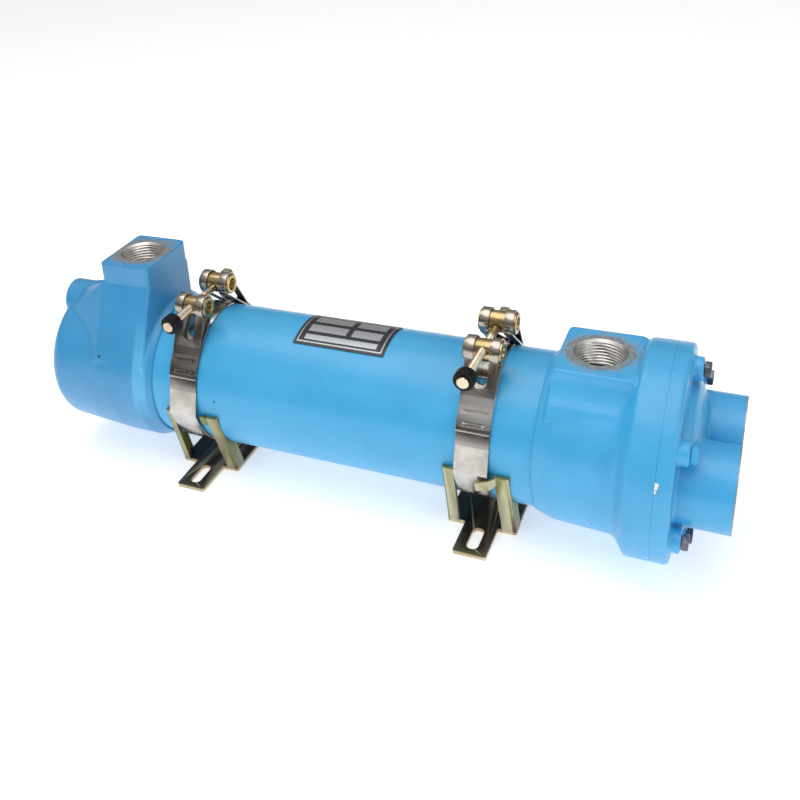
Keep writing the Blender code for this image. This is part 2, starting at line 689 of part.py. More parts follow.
def make_band(side, finishes):
    """A stainless strip round the shell: each end folds back over a trunnion as a two-legged loop."""
    front = [Vector((-p.x, p.y)) for p in band_half_path(CLAMP_LEAN)]
    path = front + list(reversed(band_half_path(-CLAMP_LEAN)[:-1]))
    outline = [(p.x, p.y + AXIS_HEIGHT) for p in ribbon(path, BAND_THICKNESS)]
    middle = CLAMP_X[side]
    strip = prism(outline, middle - BAND_WIDTH / 2, middle + BAND_WIDTH / 2, "X")
    band = make_object(f"{side}_band", strip, finishes["stainless"])
    half = FORK_WIDTH / 2
    root = AXIS_HEIGHT + FORK_ROOT_HEIGHT + half
    top = AXIS_HEIGHT + TRUNNION_HEIGHT + 2 * TRUNNION_RADIUS
    window = arc((middle, root), half, 180, 360, 8) + [(middle + half, top), (middle - half, top)]
    cut(band, helper(f"{side}_fork", prism(window, -SHELL_RADIUS, SHELL_RADIUS, "Y")))
    return band


def leaned(bm):
    """Turns a shape made at the top of the shell to where the clamps' screws sit."""
    turn = Matrix.Rotation(math.radians(CLAMP_LEAN), 3, "X")
    bmesh.ops.rotate(bm, verts=bm.verts, cent=Vector((0, 0, AXIS_HEIGHT)), matrix=turn)
    return bm


def clamp_pivot(side):
    """The point midway between a clamp's trunnions, on its bolt's axis."""
    lean = math.radians(CLAMP_LEAN)
    height = AXIS_HEIGHT + TRUNNION_HEIGHT * math.cos(lean)
    return Vector((CLAMP_X[side], -TRUNNION_HEIGHT * math.sin(lean), height))


def clamp_rod(side, radius, low, high, sides):
    """A round bar on the bolt's axis, from low to high past the clamp's pivot."""
    pivot = clamp_pivot(side)
    bm = rod(radius, pivot.y + low, pivot.y + high, "Y", sides, (pivot.x, pivot.z))
    turn = Matrix.Rotation(-math.radians(CLAMP_BOLT_TILT[side]), 3, "X")
    bmesh.ops.rotate(bm, verts=bm.verts, cent=pivot, matrix=turn)
    return bm


def make_trunnions(side, finishes):
    reach = TRUNNION_LENGTH / 2
    for place, y in (("front", -TRUNNION_Y), ("rear", TRUNNION_Y)):
        center = (y, AXIS_HEIGHT + TRUNNION_HEIGHT)
        bm = rod(TRUNNION_RADIUS, CLAMP_X[side] - reach, CLAMP_X[side] + reach, "X", 24, center)
        trunnion = make_object(f"{side}_{place}_trunnion", leaned(bm), finishes["zinc"])
        through = TRUNNION_RADIUS + CUT_PAST
        hole = clamp_rod(side, CLAMP_BOLT_RADIUS + GAP, y - through, y + through, 16)
        cut(trunnion, helper(f"{side}_{place}_hole", hole))


def make_clamp_bolt(side, finishes):
    """The bolt's head is at the rear; its tail carries a loose nylon ring held on by a collar."""
    tip = -CLAMP_BOLT_TAIL[side]
    head = TRUNNION_Y + TRUNNION_RADIUS + BAND_THICKNESS + HEAD_STANDOFF
    bolt = make_object(f"{side}_clamp_bolt", clamp_rod(side, CLAMP_BOLT_RADIUS, tip, head + JOIN_INTO, 16),
                       finishes["bolt"])
    across_corners = CLAMP_BOLT_HEAD / math.cos(math.radians(30)) / 2
    hexagon = clamp_rod(side, across_corners, head, head + CLAMP_BOLT_HEAD_HEIGHT, 6)
    shoulder = clamp_rod(side, SHOULDER_RADIUS, TRUNNION_Y + TRUNNION_RADIUS + GAP, head + JOIN_INTO, 16)
    collar = clamp_rod(side, SHOULDER_RADIUS, tip - TAIL_POINT, tip + TAIL_COLLAR, 16)
    join(bolt, helper(f"{side}_bolt_head", hexagon), helper(f"{side}_bolt_shoulder", shoulder),
         helper(f"{side}_tail_collar", collar))
    set_origin(bolt, clamp_pivot(side))
    start = tip + RETAINER_START
    end = start + RETAINER_LENGTH
    round_bar = clamp_rod(side, RETAINER_RADIUS, start, end, 24)
    ring = make_object(f"{side}_bolt_retainer", round_bar, finishes["black"])
    bore = clamp_rod(side, CLAMP_BOLT_RADIUS + GAP, start - CUT_PAST, end + CUT_PAST, 16)
    counterbore = clamp_rod(side, SHOULDER_RADIUS + GAP, start - CUT_PAST, tip + TAIL_COLLAR + GAP, 16)
    cut(ring, helper(f"{side}_ring_bore", bore), helper(f"{side}_ring_counterbore", counterbore))
    set_origin(ring, clamp_pivot(side))


def sector(inside, outside, start, end, steps):
    """The outline of a ring's sector about the shell's axis, in Y and Z, with angles from the front."""
    points = arc((0.0, 0.0), outside, start, end, steps) + arc((0.0, 0.0), inside, end, start, steps)
    return [(-y, z + AXIS_HEIGHT) for y, z in points]


def make_bridge(side, finishes):
    """The curved tongue that closes the band's gap on the shell, under the bolt."""
    inside = SHELL_RADIUS + GAP
    outline = sector(inside, inside + BRIDGE_THICKNESS, 90 - BRIDGE_HALF_ANGLE, 90 + BRIDGE_HALF_ANGLE, 12)
    low = CLAMP_X[side] - BRIDGE_WIDTH / 2
    strip = prism(outline, low, low + BRIDGE_WIDTH, "X")
    make_object(f"{side}_band_bridge", leaned(strip), finishes["stainless"])


# Brackets

def post_lean(height):
    """Distance from the axis plane of a post's outer face at a height."""
    return BRACKET_HALF_DEPTH + (POST_TOP_Y - BRACKET_HALF_DEPTH) * height / POST_TOP_Z


def leaning(outline, low, high, front, lean):
    """An outline in X and Y at floor level, extruded upwards and leaning outwards and to +X."""
    bm = prism(outline, low, high, "Z")
    for vert in bm.verts:
        vert.co.x += lean * vert.co.z / POST_TOP_Z
        vert.co.y += front * (post_lean(vert.co.z) - BRACKET_HALF_DEPTH)
    return bm


def tongue_outline(inner, edge, front, over_band):
    """The outline at floor level of the tongue that a post holds out past its inner edge."""
    face = front * (BRACKET_HALF_DEPTH - SHAVE)
    behind = front * (BRACKET_HALF_DEPTH - SHEET + SHAVE)
    root = inner + edge * SHEET
    if not over_band:
        tip = inner - edge * TONGUE_REACH
        return [(root, face), (tip, face), (tip, behind), (root, behind)]
    step = front * OUTER_TONGUE_STEP
    tip = inner - edge * OUTER_TONGUE_REACH
    near, far = inner + edge * JOGGLE[0], inner - edge * JOGGLE[1]
    shift = edge * JOGGLE_SHIFT
    outside = [(root, face), (near, face), (far, face + step), (tip, face + step)]
    inside = [(tip, behind + step), (far - shift, behind + step), (near - shift, behind), (root, behind)]
    return outside + inside


def make_post(name, side, front, edge):
    """One corner post: a front strip, a side cheek, and at the top a tongue towards the band."""
    width, lean = POSTS[side, edge]
    outer = CLAMP_X[side] + edge * BRACKET_HALF_WIDTH
    wall = outer - edge * SHEET
    inner = outer - edge * width
    face = front * BRACKET_HALF_DEPTH
    behind = front * (BRACKET_HALF_DEPTH - SHEET)
    back = front * (BRACKET_HALF_DEPTH - CHEEK_DEPTH)
    angle = [(inner, face), (outer, face), (outer, back), (wall, back), (wall, behind), (inner, behind)]
    post = helper(name, leaning(angle, POST_FOOT_Z, POST_TOP_Z, front, lean))
    over_band = (side, front, edge) == ("right", -1, 1)
    flat = tongue_outline(inner, edge, front, over_band)
    tongue = leaning(flat, POST_TOP_Z - TONGUE_HEIGHT, POST_TOP_Z - SHAVE, front, lean)
    if over_band:
        for vert in tongue.verts:
            past = max(0, (inner - vert.co.x) * edge) / OUTER_TONGUE_REACH
            vert.co.z -= OUTER_TONGUE_DROP * past
    join(post, helper(f"{name}_tongue", tongue))
    return post


def make_bracket(side, finishes):
    """A folded sheet foot: base plate, slotted tabs, and four corner posts with tongues at the band."""
    middle = CLAMP_X[side]
    wide, narrow = BRACKET_HALF_WIDTH - SHAVE, TAB_HALF_WIDTH
    outline = []
    for x, y in ((1, 1), (-1, 1), (-1, -1), (1, -1)):
        corner = [(wide, BRACKET_HALF_DEPTH), (narrow, BRACKET_HALF_DEPTH), (narrow, TAB_TIP_Y)]
        turn = [(middle + x * a, y * b) for a, b in corner]
        outline += turn if x == y else list(reversed(turn))
    bracket = make_object(f"{side}_bracket", prism(outline, 0, SHEET, "Z"), finishes["zinc"])
    for front in (-1, 1):
        for edge in (-1, 1):
            join(bracket, make_post(f"{side}_post_{front}_{edge}", side, front, edge))
    clear = SHELL_RADIUS + GAP
    low, high = middle - BRACKET_HALF_DEPTH, middle + BRACKET_HALF_DEPTH
    tube = [(low, 0), (low, clear), (high, clear), (high, 0)]
    cut(bracket, helper(f"{side}_saddle", on_axis(turned(tube))))
    for front in (-1, 1):
        round_radius = SLOT_WIDTH / 2
        reach = SLOT_LENGTH / 2 - round_radius
        outline = arc((middle, front * SLOT_Y + reach), round_radius, 0, 180, 8)
        outline += arc((middle, front * SLOT_Y - reach), round_radius, 180, 360, 8)
        cut(bracket, helper(f"{side}_slot_{front}", prism(outline, -CUT_PAST, SHEET + CUT_PAST, "Z")))


def make_name_plate(finishes):
    inside = SHELL_RADIUS + GAP
    outline = sector(inside, inside + PLATE_THICKNESS, *PLATE_ARC, 10)
    low = PLATE_X - PLATE_WIDTH / 2
    make_object("name_plate", prism(outline, low, low + PLATE_WIDTH, "X"), finishes["plate"])


def main():
    clear_scene()
    finishes = make_finishes()
    make_shell(finishes)
    make_port_end_housing(finishes)
    make_return_end_housing(finishes)
    make_water_cover(finishes)
    make_cover_bolts(finishes)
    make_tube_sheet(finishes)
    make_gaskets(finishes)
    make_u_tubes(finishes)
    make_baffles(finishes)
    make_tie_rods(finishes)
    for side in CLAMP_X:
        make_band(side, finishes)
        make_trunnions(side, finishes)
        make_clamp_bolt(side, finishes)
        make_bridge(side, finishes)
        make_bracket(side, finishes)
    make_name_plate(finishes)


main()
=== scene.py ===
"""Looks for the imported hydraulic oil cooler: detailed pieces round the CAD frame, lights and camera.

Metres, +Z up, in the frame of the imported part: the shell's axis runs along X and the water ports are at +X.
"""

import math

import bmesh
import bpy
from mathutils import Matrix, Vector


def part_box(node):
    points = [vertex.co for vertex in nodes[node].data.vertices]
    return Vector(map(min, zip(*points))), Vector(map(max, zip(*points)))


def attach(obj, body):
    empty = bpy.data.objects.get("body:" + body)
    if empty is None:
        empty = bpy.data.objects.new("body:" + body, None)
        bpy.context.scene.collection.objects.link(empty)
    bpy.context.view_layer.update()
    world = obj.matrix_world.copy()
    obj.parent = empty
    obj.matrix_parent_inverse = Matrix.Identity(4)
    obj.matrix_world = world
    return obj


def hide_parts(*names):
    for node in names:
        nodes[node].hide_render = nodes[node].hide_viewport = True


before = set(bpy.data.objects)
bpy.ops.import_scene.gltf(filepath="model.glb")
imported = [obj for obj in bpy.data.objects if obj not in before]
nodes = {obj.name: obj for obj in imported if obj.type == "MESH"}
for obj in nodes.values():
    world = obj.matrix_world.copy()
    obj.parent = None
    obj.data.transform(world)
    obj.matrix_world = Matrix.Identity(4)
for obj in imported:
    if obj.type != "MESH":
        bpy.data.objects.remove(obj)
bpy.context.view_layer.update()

MM = 0.001

# Places taken from the frame
shell_low, shell_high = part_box("shell_tube")
SHELL_RADIUS = (shell_high.z - shell_low.z) / 2
AXIS = (shell_high.z + shell_low.z) / 2
COVER_FACE_X, PORT_FACE_X = (corner.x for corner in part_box("water_cover"))
RETURN_END_X, RETURN_MOUTH_X = (corner.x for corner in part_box("return_end_housing"))
HOUSING_LIP_X, FLANGE_END_X = (corner.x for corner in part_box("port_end_housing"))
FLANGE_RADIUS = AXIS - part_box("port_end_housing")[0].z
SIDES = ("right", "left")
CLAMP_X = {side: sum(corner.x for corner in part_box(f"{side}_band")) / 2 for side in SIDES}

# Sizes of the details
ROUND = 160  # sides of the large round pieces
PORT_RADIUS = 16 * MM
THREAD_PITCH = 2.309 * MM
THREAD_DEPTH = 1.3 * MM
VOXEL = 0.95 * MM
SMOOTHING = 8  # rounds of smoothing that soften a casting's corners
SHELL_WALL = 3 * MM
SHELL_EDGE = 0.4 * MM
GAP = 0.3 * MM  # clearance between pieces that touch
CUT_PAST = 1 * MM  # how far a cutter reaches past the surface that it cuts
WHOLE = 0.1  # half the size of a cutter that goes right across the cooler
FINE_BEVEL = 0.2 * MM

# Castings
PORT_CHAMFER = 1.5 * MM
PORT_THREAD_LENGTH = 20 * MM
WATER_THREAD_LENGTH = 18 * MM
PORT_END_BORE = 42 * MM  # how deep each port is drilled below its mouth
RETURN_BORE = 72 * MM
WATER_BORE = 30 * MM
BARE_DEPTH = 45 * MM  # how far a port's bare metal reaches down inside it
MASKED_RING = 22.5 * MM
GRIMY_RING = 22.5 * MM  # on the return end's boss
WATER_FACE_RING = 40 * MM  # wider than a water boss, whose whole face is machined
FACE_DEPTH = 0.9 * MM  # how far the bare metal of a port's face reaches down its edges
FACE_REACH = 27.5 * MM  # how far the grime on a port's face reaches out
BOSS_CORNER = 4 * MM
BOSS_ROOT = 30 * MM  # above the axis, where a boss's block starts
LIP = 1.3 * MM
SEAT_DEPTH = 11.3 * MM
HOUSING_SHOULDER_X = 148.4 * MM
HOUSING_RADIUS = 60 * MM
HOUSING_FLARE = 1 * MM  # how much wider the barrel is where it meets the flange's fillet
FLANGE_FILLET = 8 * MM
FILLET_START = 11.3 * MM
FLARE_END = 13 * MM
FLANGE_EDGE = 1.2 * MM
FLANGE_EDGE_COVER = 1.6 * MM
HOUSING_BORE = 50 * MM
FLANGE_THICKNESS = 17.6 * MM
PORT_END_BOSS = {"x": 168.2 * MM, "width": 51.4 * MM, "depth": 60.4 * MM, "height": 66.6 * MM}
RETURN_BOSS = {"x": -182.7 * MM, "width": 44 * MM, "depth": 56 * MM, "height": 97.3 * MM}
RETURN_RADIUS = 60 * MM
RETURN_END_RADIUS = 56.5 * MM
RETURN_EDGE_ROUND = 12 * MM
RETURN_WALL = 6 * MM
RETURN_INNER_ROUND = (8 * MM, 10 * MM)
RETURN_BARREL_X = (-190.3 * MM, -166.4 * MM)
RETURN_MOUTH_SLOPE = (6 * MM, 2.6 * MM)
LUG_STANDOFF = 4 * MM
LUG_RADIUS = 15.8 * MM
LUG_HEIGHT = 46.5 * MM
SHOULDER_REAR = (10 * MM, 68 * MM)  # where the web between boss and lug falls away, behind the middle
BOSS_HEAD_HEIGHT = 16.3 * MM
LUG_WEB_END = 12 * MM
PORT_BOSS_FLANK = [  # how the boss's front curves into the barrel, from below up
    (0, 20 * MM), (46 * MM, 38 * MM), (41 * MM, 46 * MM), (36 * MM, 50.5 * MM),
    (32.5 * MM, 55 * MM), (30.7 * MM, 60 * MM), (30.2 * MM, 64 * MM),
]
JOINT_CUT = 5 * MM  # a casting is made this much too long and cut back, which leaves its edge sharp
JOINT_CLEARANCE = 0.1 * MM
PAST_JOINT = JOINT_CUT + 3 * MM
BLIND_END = 2 * MM  # of the flange, left under its bolt holes
COVER_FLANGE_THICKNESS = 10.1 * MM
COVER_DOME_X = 237 * MM
COVER_DOME_RADIUS = 52 * MM
COVER_DOME = [  # how far the dome has dropped from its top, by the radius
    (0, 0), (0.6 * MM, 20 * MM), (2.4 * MM, 36 * MM), (5 * MM, 45 * MM), (8 * MM, 50 * MM),
]
COVER_CHAMBER_RADIUS = 46 * MM
COVER_CHAMBER_X = 231 * MM
COVER_RECESS = 7.9 * MM
COVER_RECESS_RADIUS = 55.8 * MM
ROOTED = 4 * MM  # how far a boss or pad starts inside the cover's flange
COVER_PAD_RADIUS = 8 * MM
COVER_PAD = 7 * MM
PASS_WALL = 5 * MM
WATER_BOSS_RADIUS = 28 * MM
WATER_BOSS_Y = 29.5 * MM
COVER_BOLTS = 6
BOLT_HOLE_RADIUS = 3.3 * MM
COVER_BOLT_RADIUS = 3 * MM
COVER_BOLT_HEAD = 10 * MM
COVER_HEAD_HEIGHT = 4 * MM
COVER_BOLT_TURN = 17  # degrees from one bolt's head to the next one's
HEAD_DISH = (3 * MM, 0.25 * MM)  # radius and depth of the hollow in a cover bolt's head
PAINTED_BOLT = 1  # its head was sprayed with the casting

# Clamps
CLAMP_LEAN = 3.5  # degrees that the screws sit round the shell, off its top towards the front
BAND_WIDTH = 23 * MM
BAND_THICKNESS = 1.2 * MM
BAND_STEP = 2.0  # degrees between the points of its outline, and round a loop
LOOP_STEP = 7.0
FOLD_END = 26  # degrees above the axis, where a folded end stops on the band below it
FOLD_TOP = 45  # and where it leaves that band
FOLD_PINCH = -30  # where it meets its loop round the trunnion
WELD_ANGLES = (31, 40)
WELD_SPREAD = 6.5 * MM
WELD_BALL = 4 * MM
WELD_DEPTH = 0.3 * MM
BAND_BEVEL = 0.22 * MM
TRUNNION_RADIUS = 7.7 * MM
TRUNNION_LENGTH = 26 * MM
TRUNNION_Y = 18.3 * MM
TRUNNION_HEIGHT = 70 * MM
TRUNNION_EDGE = 0.5 * MM
TRUNNION_BEVEL = 0.15 * MM
TRUNNION_RECESS = [  # the hollow in each end, as (depth, radius)
    (3.5 * MM, 0), (3.5 * MM, 3.8 * MM), (0.5 * MM, 4.4 * MM), (0, 4.9 * MM),
]
FORK_WIDTH = 10.6 * MM
FORK_ROOT_HEIGHT = 47 * MM
CLAMP_BOLT_RADIUS = 3 * MM
BOLT_PITCH = 1.0 * MM
BOLT_THREAD_DEPTH = 0.4 * MM
CLAMP_BOLT_TILT = {"right": 2.3, "left": 0.0}
CLAMP_BOLT_TAIL = {"right": 67.9 * MM, "left": 56 * MM}
CLAMP_BOLT_HEAD = 10 * MM
CLAMP_HEAD_HEIGHT = 6 * MM
SHOULDER_RADIUS = 4 * MM
HEAD_STANDOFF = 2.4 * MM
THREAD_START = 1.5 * MM  # from the bolt's tip
THREAD_END = -2 * MM  # from midway between the trunnions
JOINED = 2 * MM  # how far the bolt's lengths reach into each other
TAIL_COLLAR = 4 * MM
TAIL_POINT = 0.5 * MM
RETAINER_RADIUS = 7 * MM
RETAINER_LENGTH = 8.5 * MM  # which stops just short of the loop at full travel
RETAINER_START = 1.5 * MM
RETAINER_EDGE = 1.2 * MM
BRIDGE_HALF_ANGLE = 24
BRIDGE_WIDTH = 20 * MM
BRIDGE_THICKNESS = 1 * MM

# Brackets
SHEET = 3.2 * MM
BEND_RADIUS = 3 * MM
SHEET_CORNER = 1.5 * MM
BRACKET_BEVEL = 0.3 * MM
BRACKET_HALF_WIDTH = 25.1 * MM
BRACKET_HALF_DEPTH = 31.8 * MM
TAB_HALF_WIDTH = 11.7 * MM
TAB_TIP_Y = 64.1 * MM
SLOT_Y = 47.3 * MM
SLOT_WIDTH = 8.5 * MM
SLOT_LENGTH = 23 * MM
POSTS = {  # each post's width and how far its top leans to +X, by the clamp and the post's side
    ("right", -1): (8.6 * MM, 4.6 * MM),
    ("right", 1): (10 * MM, 0.6 * MM),
    ("left", -1): (6.3 * MM, 8 * MM),
    ("left", 1): (8.5 * MM, 3 * MM),
}
POST_TOP_Z = 66.5 * MM
POST_TOP_Y = 57.6 * MM
CHEEK_DEPTH = 12 * MM
SHAVE = 0.15 * MM
TONGUE_HEIGHT = 9 * MM
TONGUE_REACH = 6 * MM
OUTER_TONGUE_REACH = 11.5 * MM  # of the one tongue that lies over the band
OUTER_TONGUE_STEP = 5.9 * MM
OUTER_TONGUE_DROP = 3 * MM
JOGGLE = (1 * MM, 2.5 * MM)
JOGGLE_SHIFT = 0.7 * MM

# Name plate
PLATE_ARC = (66.2, 111.5)
PLATE_THICKNESS = 0.6 * MM
PRINT_HEIGHT = 0.06 * MM
PLATE_PRINTS = (  # start and end along the plate, and from its front edge to its rear one
    (0.03, 0.97, 0.05, 0.075),
    (0.03, 0.97, 0.925, 0.95),
    (0.03, 0.042, 0.05, 0.95),
    (0.958, 0.97, 0.05, 0.95),
    (0.10, 0.52, 0.62, 0.84),
    (0.58, 0.90, 0.62, 0.84),
    (0.10, 0.52, 0.32, 0.52),
    (0.58, 0.90, 0.32, 0.52),
    (0.10, 0.90, 0.12, 0.24),
)

# Stage, light and camera
FLOOR_HALF = 6.0
WORLD_STRENGTH = 0.55
FLOOR_GLOW = 0.5
LIGHTS = {  # place, target, size, power, colour, and whether it shows in reflections
    "overhead": ((-0.1, -0.1, 1.5), (0, 0, 0), (1.6, 1.2), 11, (1.0, 1.0, 1.0), True),
    "front": ((-0.5, -1.5, 0.9), (0, 0, 0.07), (1.2, 0.8), 7, (1.0, 0.99, 0.97), False),
    "port_end": ((1.3, -0.5, 0.8), (0.1, 0, 0.07), (0.8, 0.8), 3.5, (0.97, 0.99, 1.0), True),
}
CAMERA_PLACE = (0.25481, -0.57564, 0.47897)
CAMERA_YAW = 0.48805
CAMERA_PITCH = 0.44422
CAMERA_ROLL = -0.09543
CAMERA_LENS = 44.499
CAMERA_SHIFT = (0.13288, -0.15959)


# Mesh helpers

def shade(mesh, smooth_angle=32):
    """Shades a mesh smooth where its faces meet at a small angle."""
    mesh.shade_smooth()
    mesh.set_sharp_from_angle(angle=math.radians(smooth_angle))


def make_object(name, bm, finish=None):
    bmesh.ops.recalc_face_normals(bm, faces=bm.faces)
    mesh = bpy.data.meshes.new(name)
    bm.to_mesh(mesh)
    bm.free()
    shade(mesh)
    made = bpy.data.objects.new(name, mesh)
    bpy.context.scene.collection.objects.link(made)
    if finish:
        mesh.materials.append(finish)
    return made


def solid(bm):
    """A working solid, to join to a piece or to cut out of it."""
    return make_object("solid", bm)


def dress(obj, finish):
    """Gives an object one finish, in place of those it has."""
    obj.data.materials.clear()
    obj.data.materials.append(finish)


def bake(obj, smooth_angle=32):
    """Replaces the object's mesh by what its modifiers make of it."""
    graph = bpy.context.evaluated_depsgraph_get()
    mesh = bpy.data.meshes.new_from_object(obj.evaluated_get(graph))
    obj.modifiers.clear()
    obj.data = mesh
    shade(mesh, smooth_angle)


def combine(target, tools, operation):
    """Joins the tools to the target, or cuts them out of it, and removes them."""
    for tool in tools:
        change = target.modifiers.new("combine", "BOOLEAN")
        change.operation = operation
        change.solver = "MANIFOLD"
        change.object = tool
    bake(target)
    for tool in tools:
        bpy.data.objects.remove(tool)


def soften(obj, width, angle=40):
    """Bevels the edges that are sharper than an angle."""
    change = obj.modifiers.new("bevel", "BEVEL")
    change.width = width
    change.segments = 2
    change.limit_method = "ANGLE"
    change.angle_limit = math.radians(angle)
    change.harden_normals = False
    bake(obj)


def arc(center, radius, start, end, steps):
    """Points on a circle in a plane, with its angles in degrees."""
    points = []
    for step in range(steps + 1):
        angle = math.radians(start + (end - start) * step / steps)
        points.append((center[0] + radius * math.cos(angle), center[1] + radius * math.sin(angle)))
    return points


def ring_of(bm, x, radius_at, sides):
    """A ring of vertices about X, whose radius may depend on the side."""
    ring = []
    for side in range(sides):
        angle = 2 * math.pi * side / sides
        radius = radius_at(side)
        ring.append(bm.verts.new((x, radius * math.cos(angle), radius * math.sin(angle))))
    return ring


def turned(profile, sides=ROUND):
    """A closed solid turned about X from (x, radius) points, with radius 0 where it meets the axis."""
    bm = bmesh.new()
    rings = []
    for x, radius in profile:
        if radius == 0:
            rings.append([bm.verts.new((x, 0, 0))] * sides)
        else:
            rings.append(ring_of(bm, x, lambda side: radius, sides))
    for first, second in zip(rings, rings[1:] + rings[:1]):
        for side in range(sides):
            after = (side + 1) % sides
            distinct = list(dict.fromkeys([first[side], first[after], second[after], second[side]]))
            if len(distinct) > 2:
                bm.faces.new(distinct)
    return bm


def wound(start, end, pitch, radius_at, sides, steps_per_turn):
    """A closed bar about X with a thread: its radius depends on x and on the thread's phase there."""
    bm = bmesh.new()
    rows = int((end - start) / pitch * steps_per_turn)
    rings = []
    for row in range(rows + 1):
        x = start + (end - start) * row / rows
        turns = (x - start) / pitch
        rings.append(ring_of(bm, x, lambda side: radius_at(x, (turns - side / sides) % 1.0), sides))
    for first, second in zip(rings, rings[1:]):
        for side in range(sides):
            after = (side + 1) % sides
            bm.faces.new((first[side], first[after], second[after], second[side]))
    bm.faces.new(list(reversed(rings[0])))
    bm.faces.new(rings[-1])
    return bm


def prism(outline, low, high, axis="X"):
    """An outline of two coordinates, extruded along the third axis from low to high."""
    place = {
        "X": lambda a, b, c: (c, a, b),
        "Y": lambda a, b, c: (a, c, b),
        "Z": lambda a, b, c: (a, b, c),
    }[axis]
    bm = bmesh.new()
    ends = []
    for level in (low, high):
        ends.append([bm.verts.new(place(a, b, level)) for a, b in outline])
    count = len(outline)
    bm.faces.new(ends[0])
    bm.faces.new(list(reversed(ends[1])))
    for i in range(count):
        after = (i + 1) % count
        bm.faces.new((ends[0][i], ends[1][i], ends[1][after], ends[0][after]))
    return bm


def rod(radius, low, high, sides, center=(0.0, 0.0)):
    return prism(arc(center, radius, 0, 360 - 360 / sides, sides - 1), low, high)


def box(low, high):
    outline = [(low[0], low[1]), (high[0], low[1]), (high[0], high[1]), (low[0], high[1])]
    return prism(outline, low[2], high[2], "Z")


def slab(low_x, high_x, low_z=-WHOLE):
    """A cutter across the whole cooler between two places along X."""
    return solid(box((low_x, -WHOLE, low_z), (high_x, WHOLE, 2 * WHOLE)))


def moved(bm, offset):
    bmesh.ops.translate(bm, verts=bm.verts, vec=Vector(offset))
    return bm


def aimed(bm, origin, direction):
    """Moves a shape made about the X axis so that X points along a direction, from an origin."""
    turn = Vector(direction).to_track_quat("X", "Z").to_matrix()
    bmesh.ops.rotate(bm, verts=bm.verts, matrix=turn)
    return moved(bm, origin)


def on_axis(bm):
    return moved(bm, (0, 0, AXIS))


def rounded(points, radius, steps=4):
    """A closed outline with each corner replaced by an arc-like curve."""
    made = []
    count = len(points)
    for i, corner in enumerate(points):
        corner = Vector(corner)
        before = Vector(points[i - 1])
        after = Vector(points[(i + 1) % count])
        reach = min(radius, (before - corner).length / 2.01, (after - corner).length / 2.01)
        start = corner + (before - corner).normalized() * reach
        end = corner + (after - corner).normalized() * reach
        for step in range(steps + 1):
            t = step / steps
            made.append(tuple(start * (1 - t) ** 2 + corner * 2 * t * (1 - t) + end * t ** 2))
    return made


def cast(name, solids, finish):
    """One casting from several solids, with its corners and joints rounded as a mould leaves them."""
    body = solids[0]
    body.name = name
    combine(body, solids[1:], "UNION")
    remesh = body.modifiers.new("remesh", "REMESH")
    remesh.mode = "VOXEL"
    remesh.voxel_size = VOXEL
    relax = body.modifiers.new("relax", "SMOOTH")
    relax.factor = 0.5
    relax.iterations = SMOOTHING
    bake(body, 40)
    dress(body, finish)
    return body


def port_tools(mouth, direction, depth, length):
    """Cutters for a threaded port whose mouth is at a point and opens along a direction."""
    out = Vector(direction)
    mouth = Vector(mouth)
    inner = PORT_RADIUS - THREAD_DEPTH / 2
    thread = wound(0, length, THREAD_PITCH,
                   lambda x, phase: PORT_RADIUS + THREAD_DEPTH * (0.5 - abs(2 * phase - 1)), 72, 6)
    drill = turned([(0, 0), (0, inner), (depth, inner), (depth, 0)], 72)
    low, wide = PORT_CHAMFER + CUT_PAST, PORT_RADIUS + PORT_CHAMFER
    above = CUT_PAST / 2
    cone = turned([(-low, 0), (-low, wide - low), (above, wide + above), (above, 0)], 72)
    places = ((thread, mouth - out * length), (drill, mouth - out * (depth - CUT_PAST)), (cone, mouth))
    return [solid(aimed(bm, origin, out)) for bm, origin in places]


# Finishes

# Painted shade on top of the brackets' base plates, under the cooler
BASE_SHADE_BROWN = (0.055, 0.034, 0.030)
CHIP_WHITE = (0.86, 0.84, 0.78)
CAST_BLUE = (0.060, 0.420, 0.760)
CAST_BLUE_DARK = (0.050, 0.370, 0.700)
# Painted highlight of a lit chamfer at the return end's mouth
MOUTH_HIGHLIGHT_BLUE = (0.110, 0.470, 0.790)
RING_LIGHT = (0.44, 0.42, 0.38)
RING_DARK = (0.22, 0.17, 0.12)
THREAD_LIGHT = (0.70, 0.68, 0.64)
PORE_DARK = (0.02, 0.05, 0.10)
BAND_STEEL = ((0.52, 0.49, 0.46), (0.26, 0.24, 0.22))
BAND_SHADOW = (0.11, 0.10, 0.095)  # painted shadow on the stretch below a band's folded end
# Painted reflection of the gold trunnions on the band near its loops
LOOP_GOLD_REFLECTION = (0.30, 0.25, 0.19)
# Painted reflection on each folded end: light on the right clamp, dark on the left
FOLDED_END_REFLECTION = {"right": (0.82, 0.80, 0.76), "left": (0.22, 0.19, 0.17)}
CAST_GRAIN = 0.22 * MM


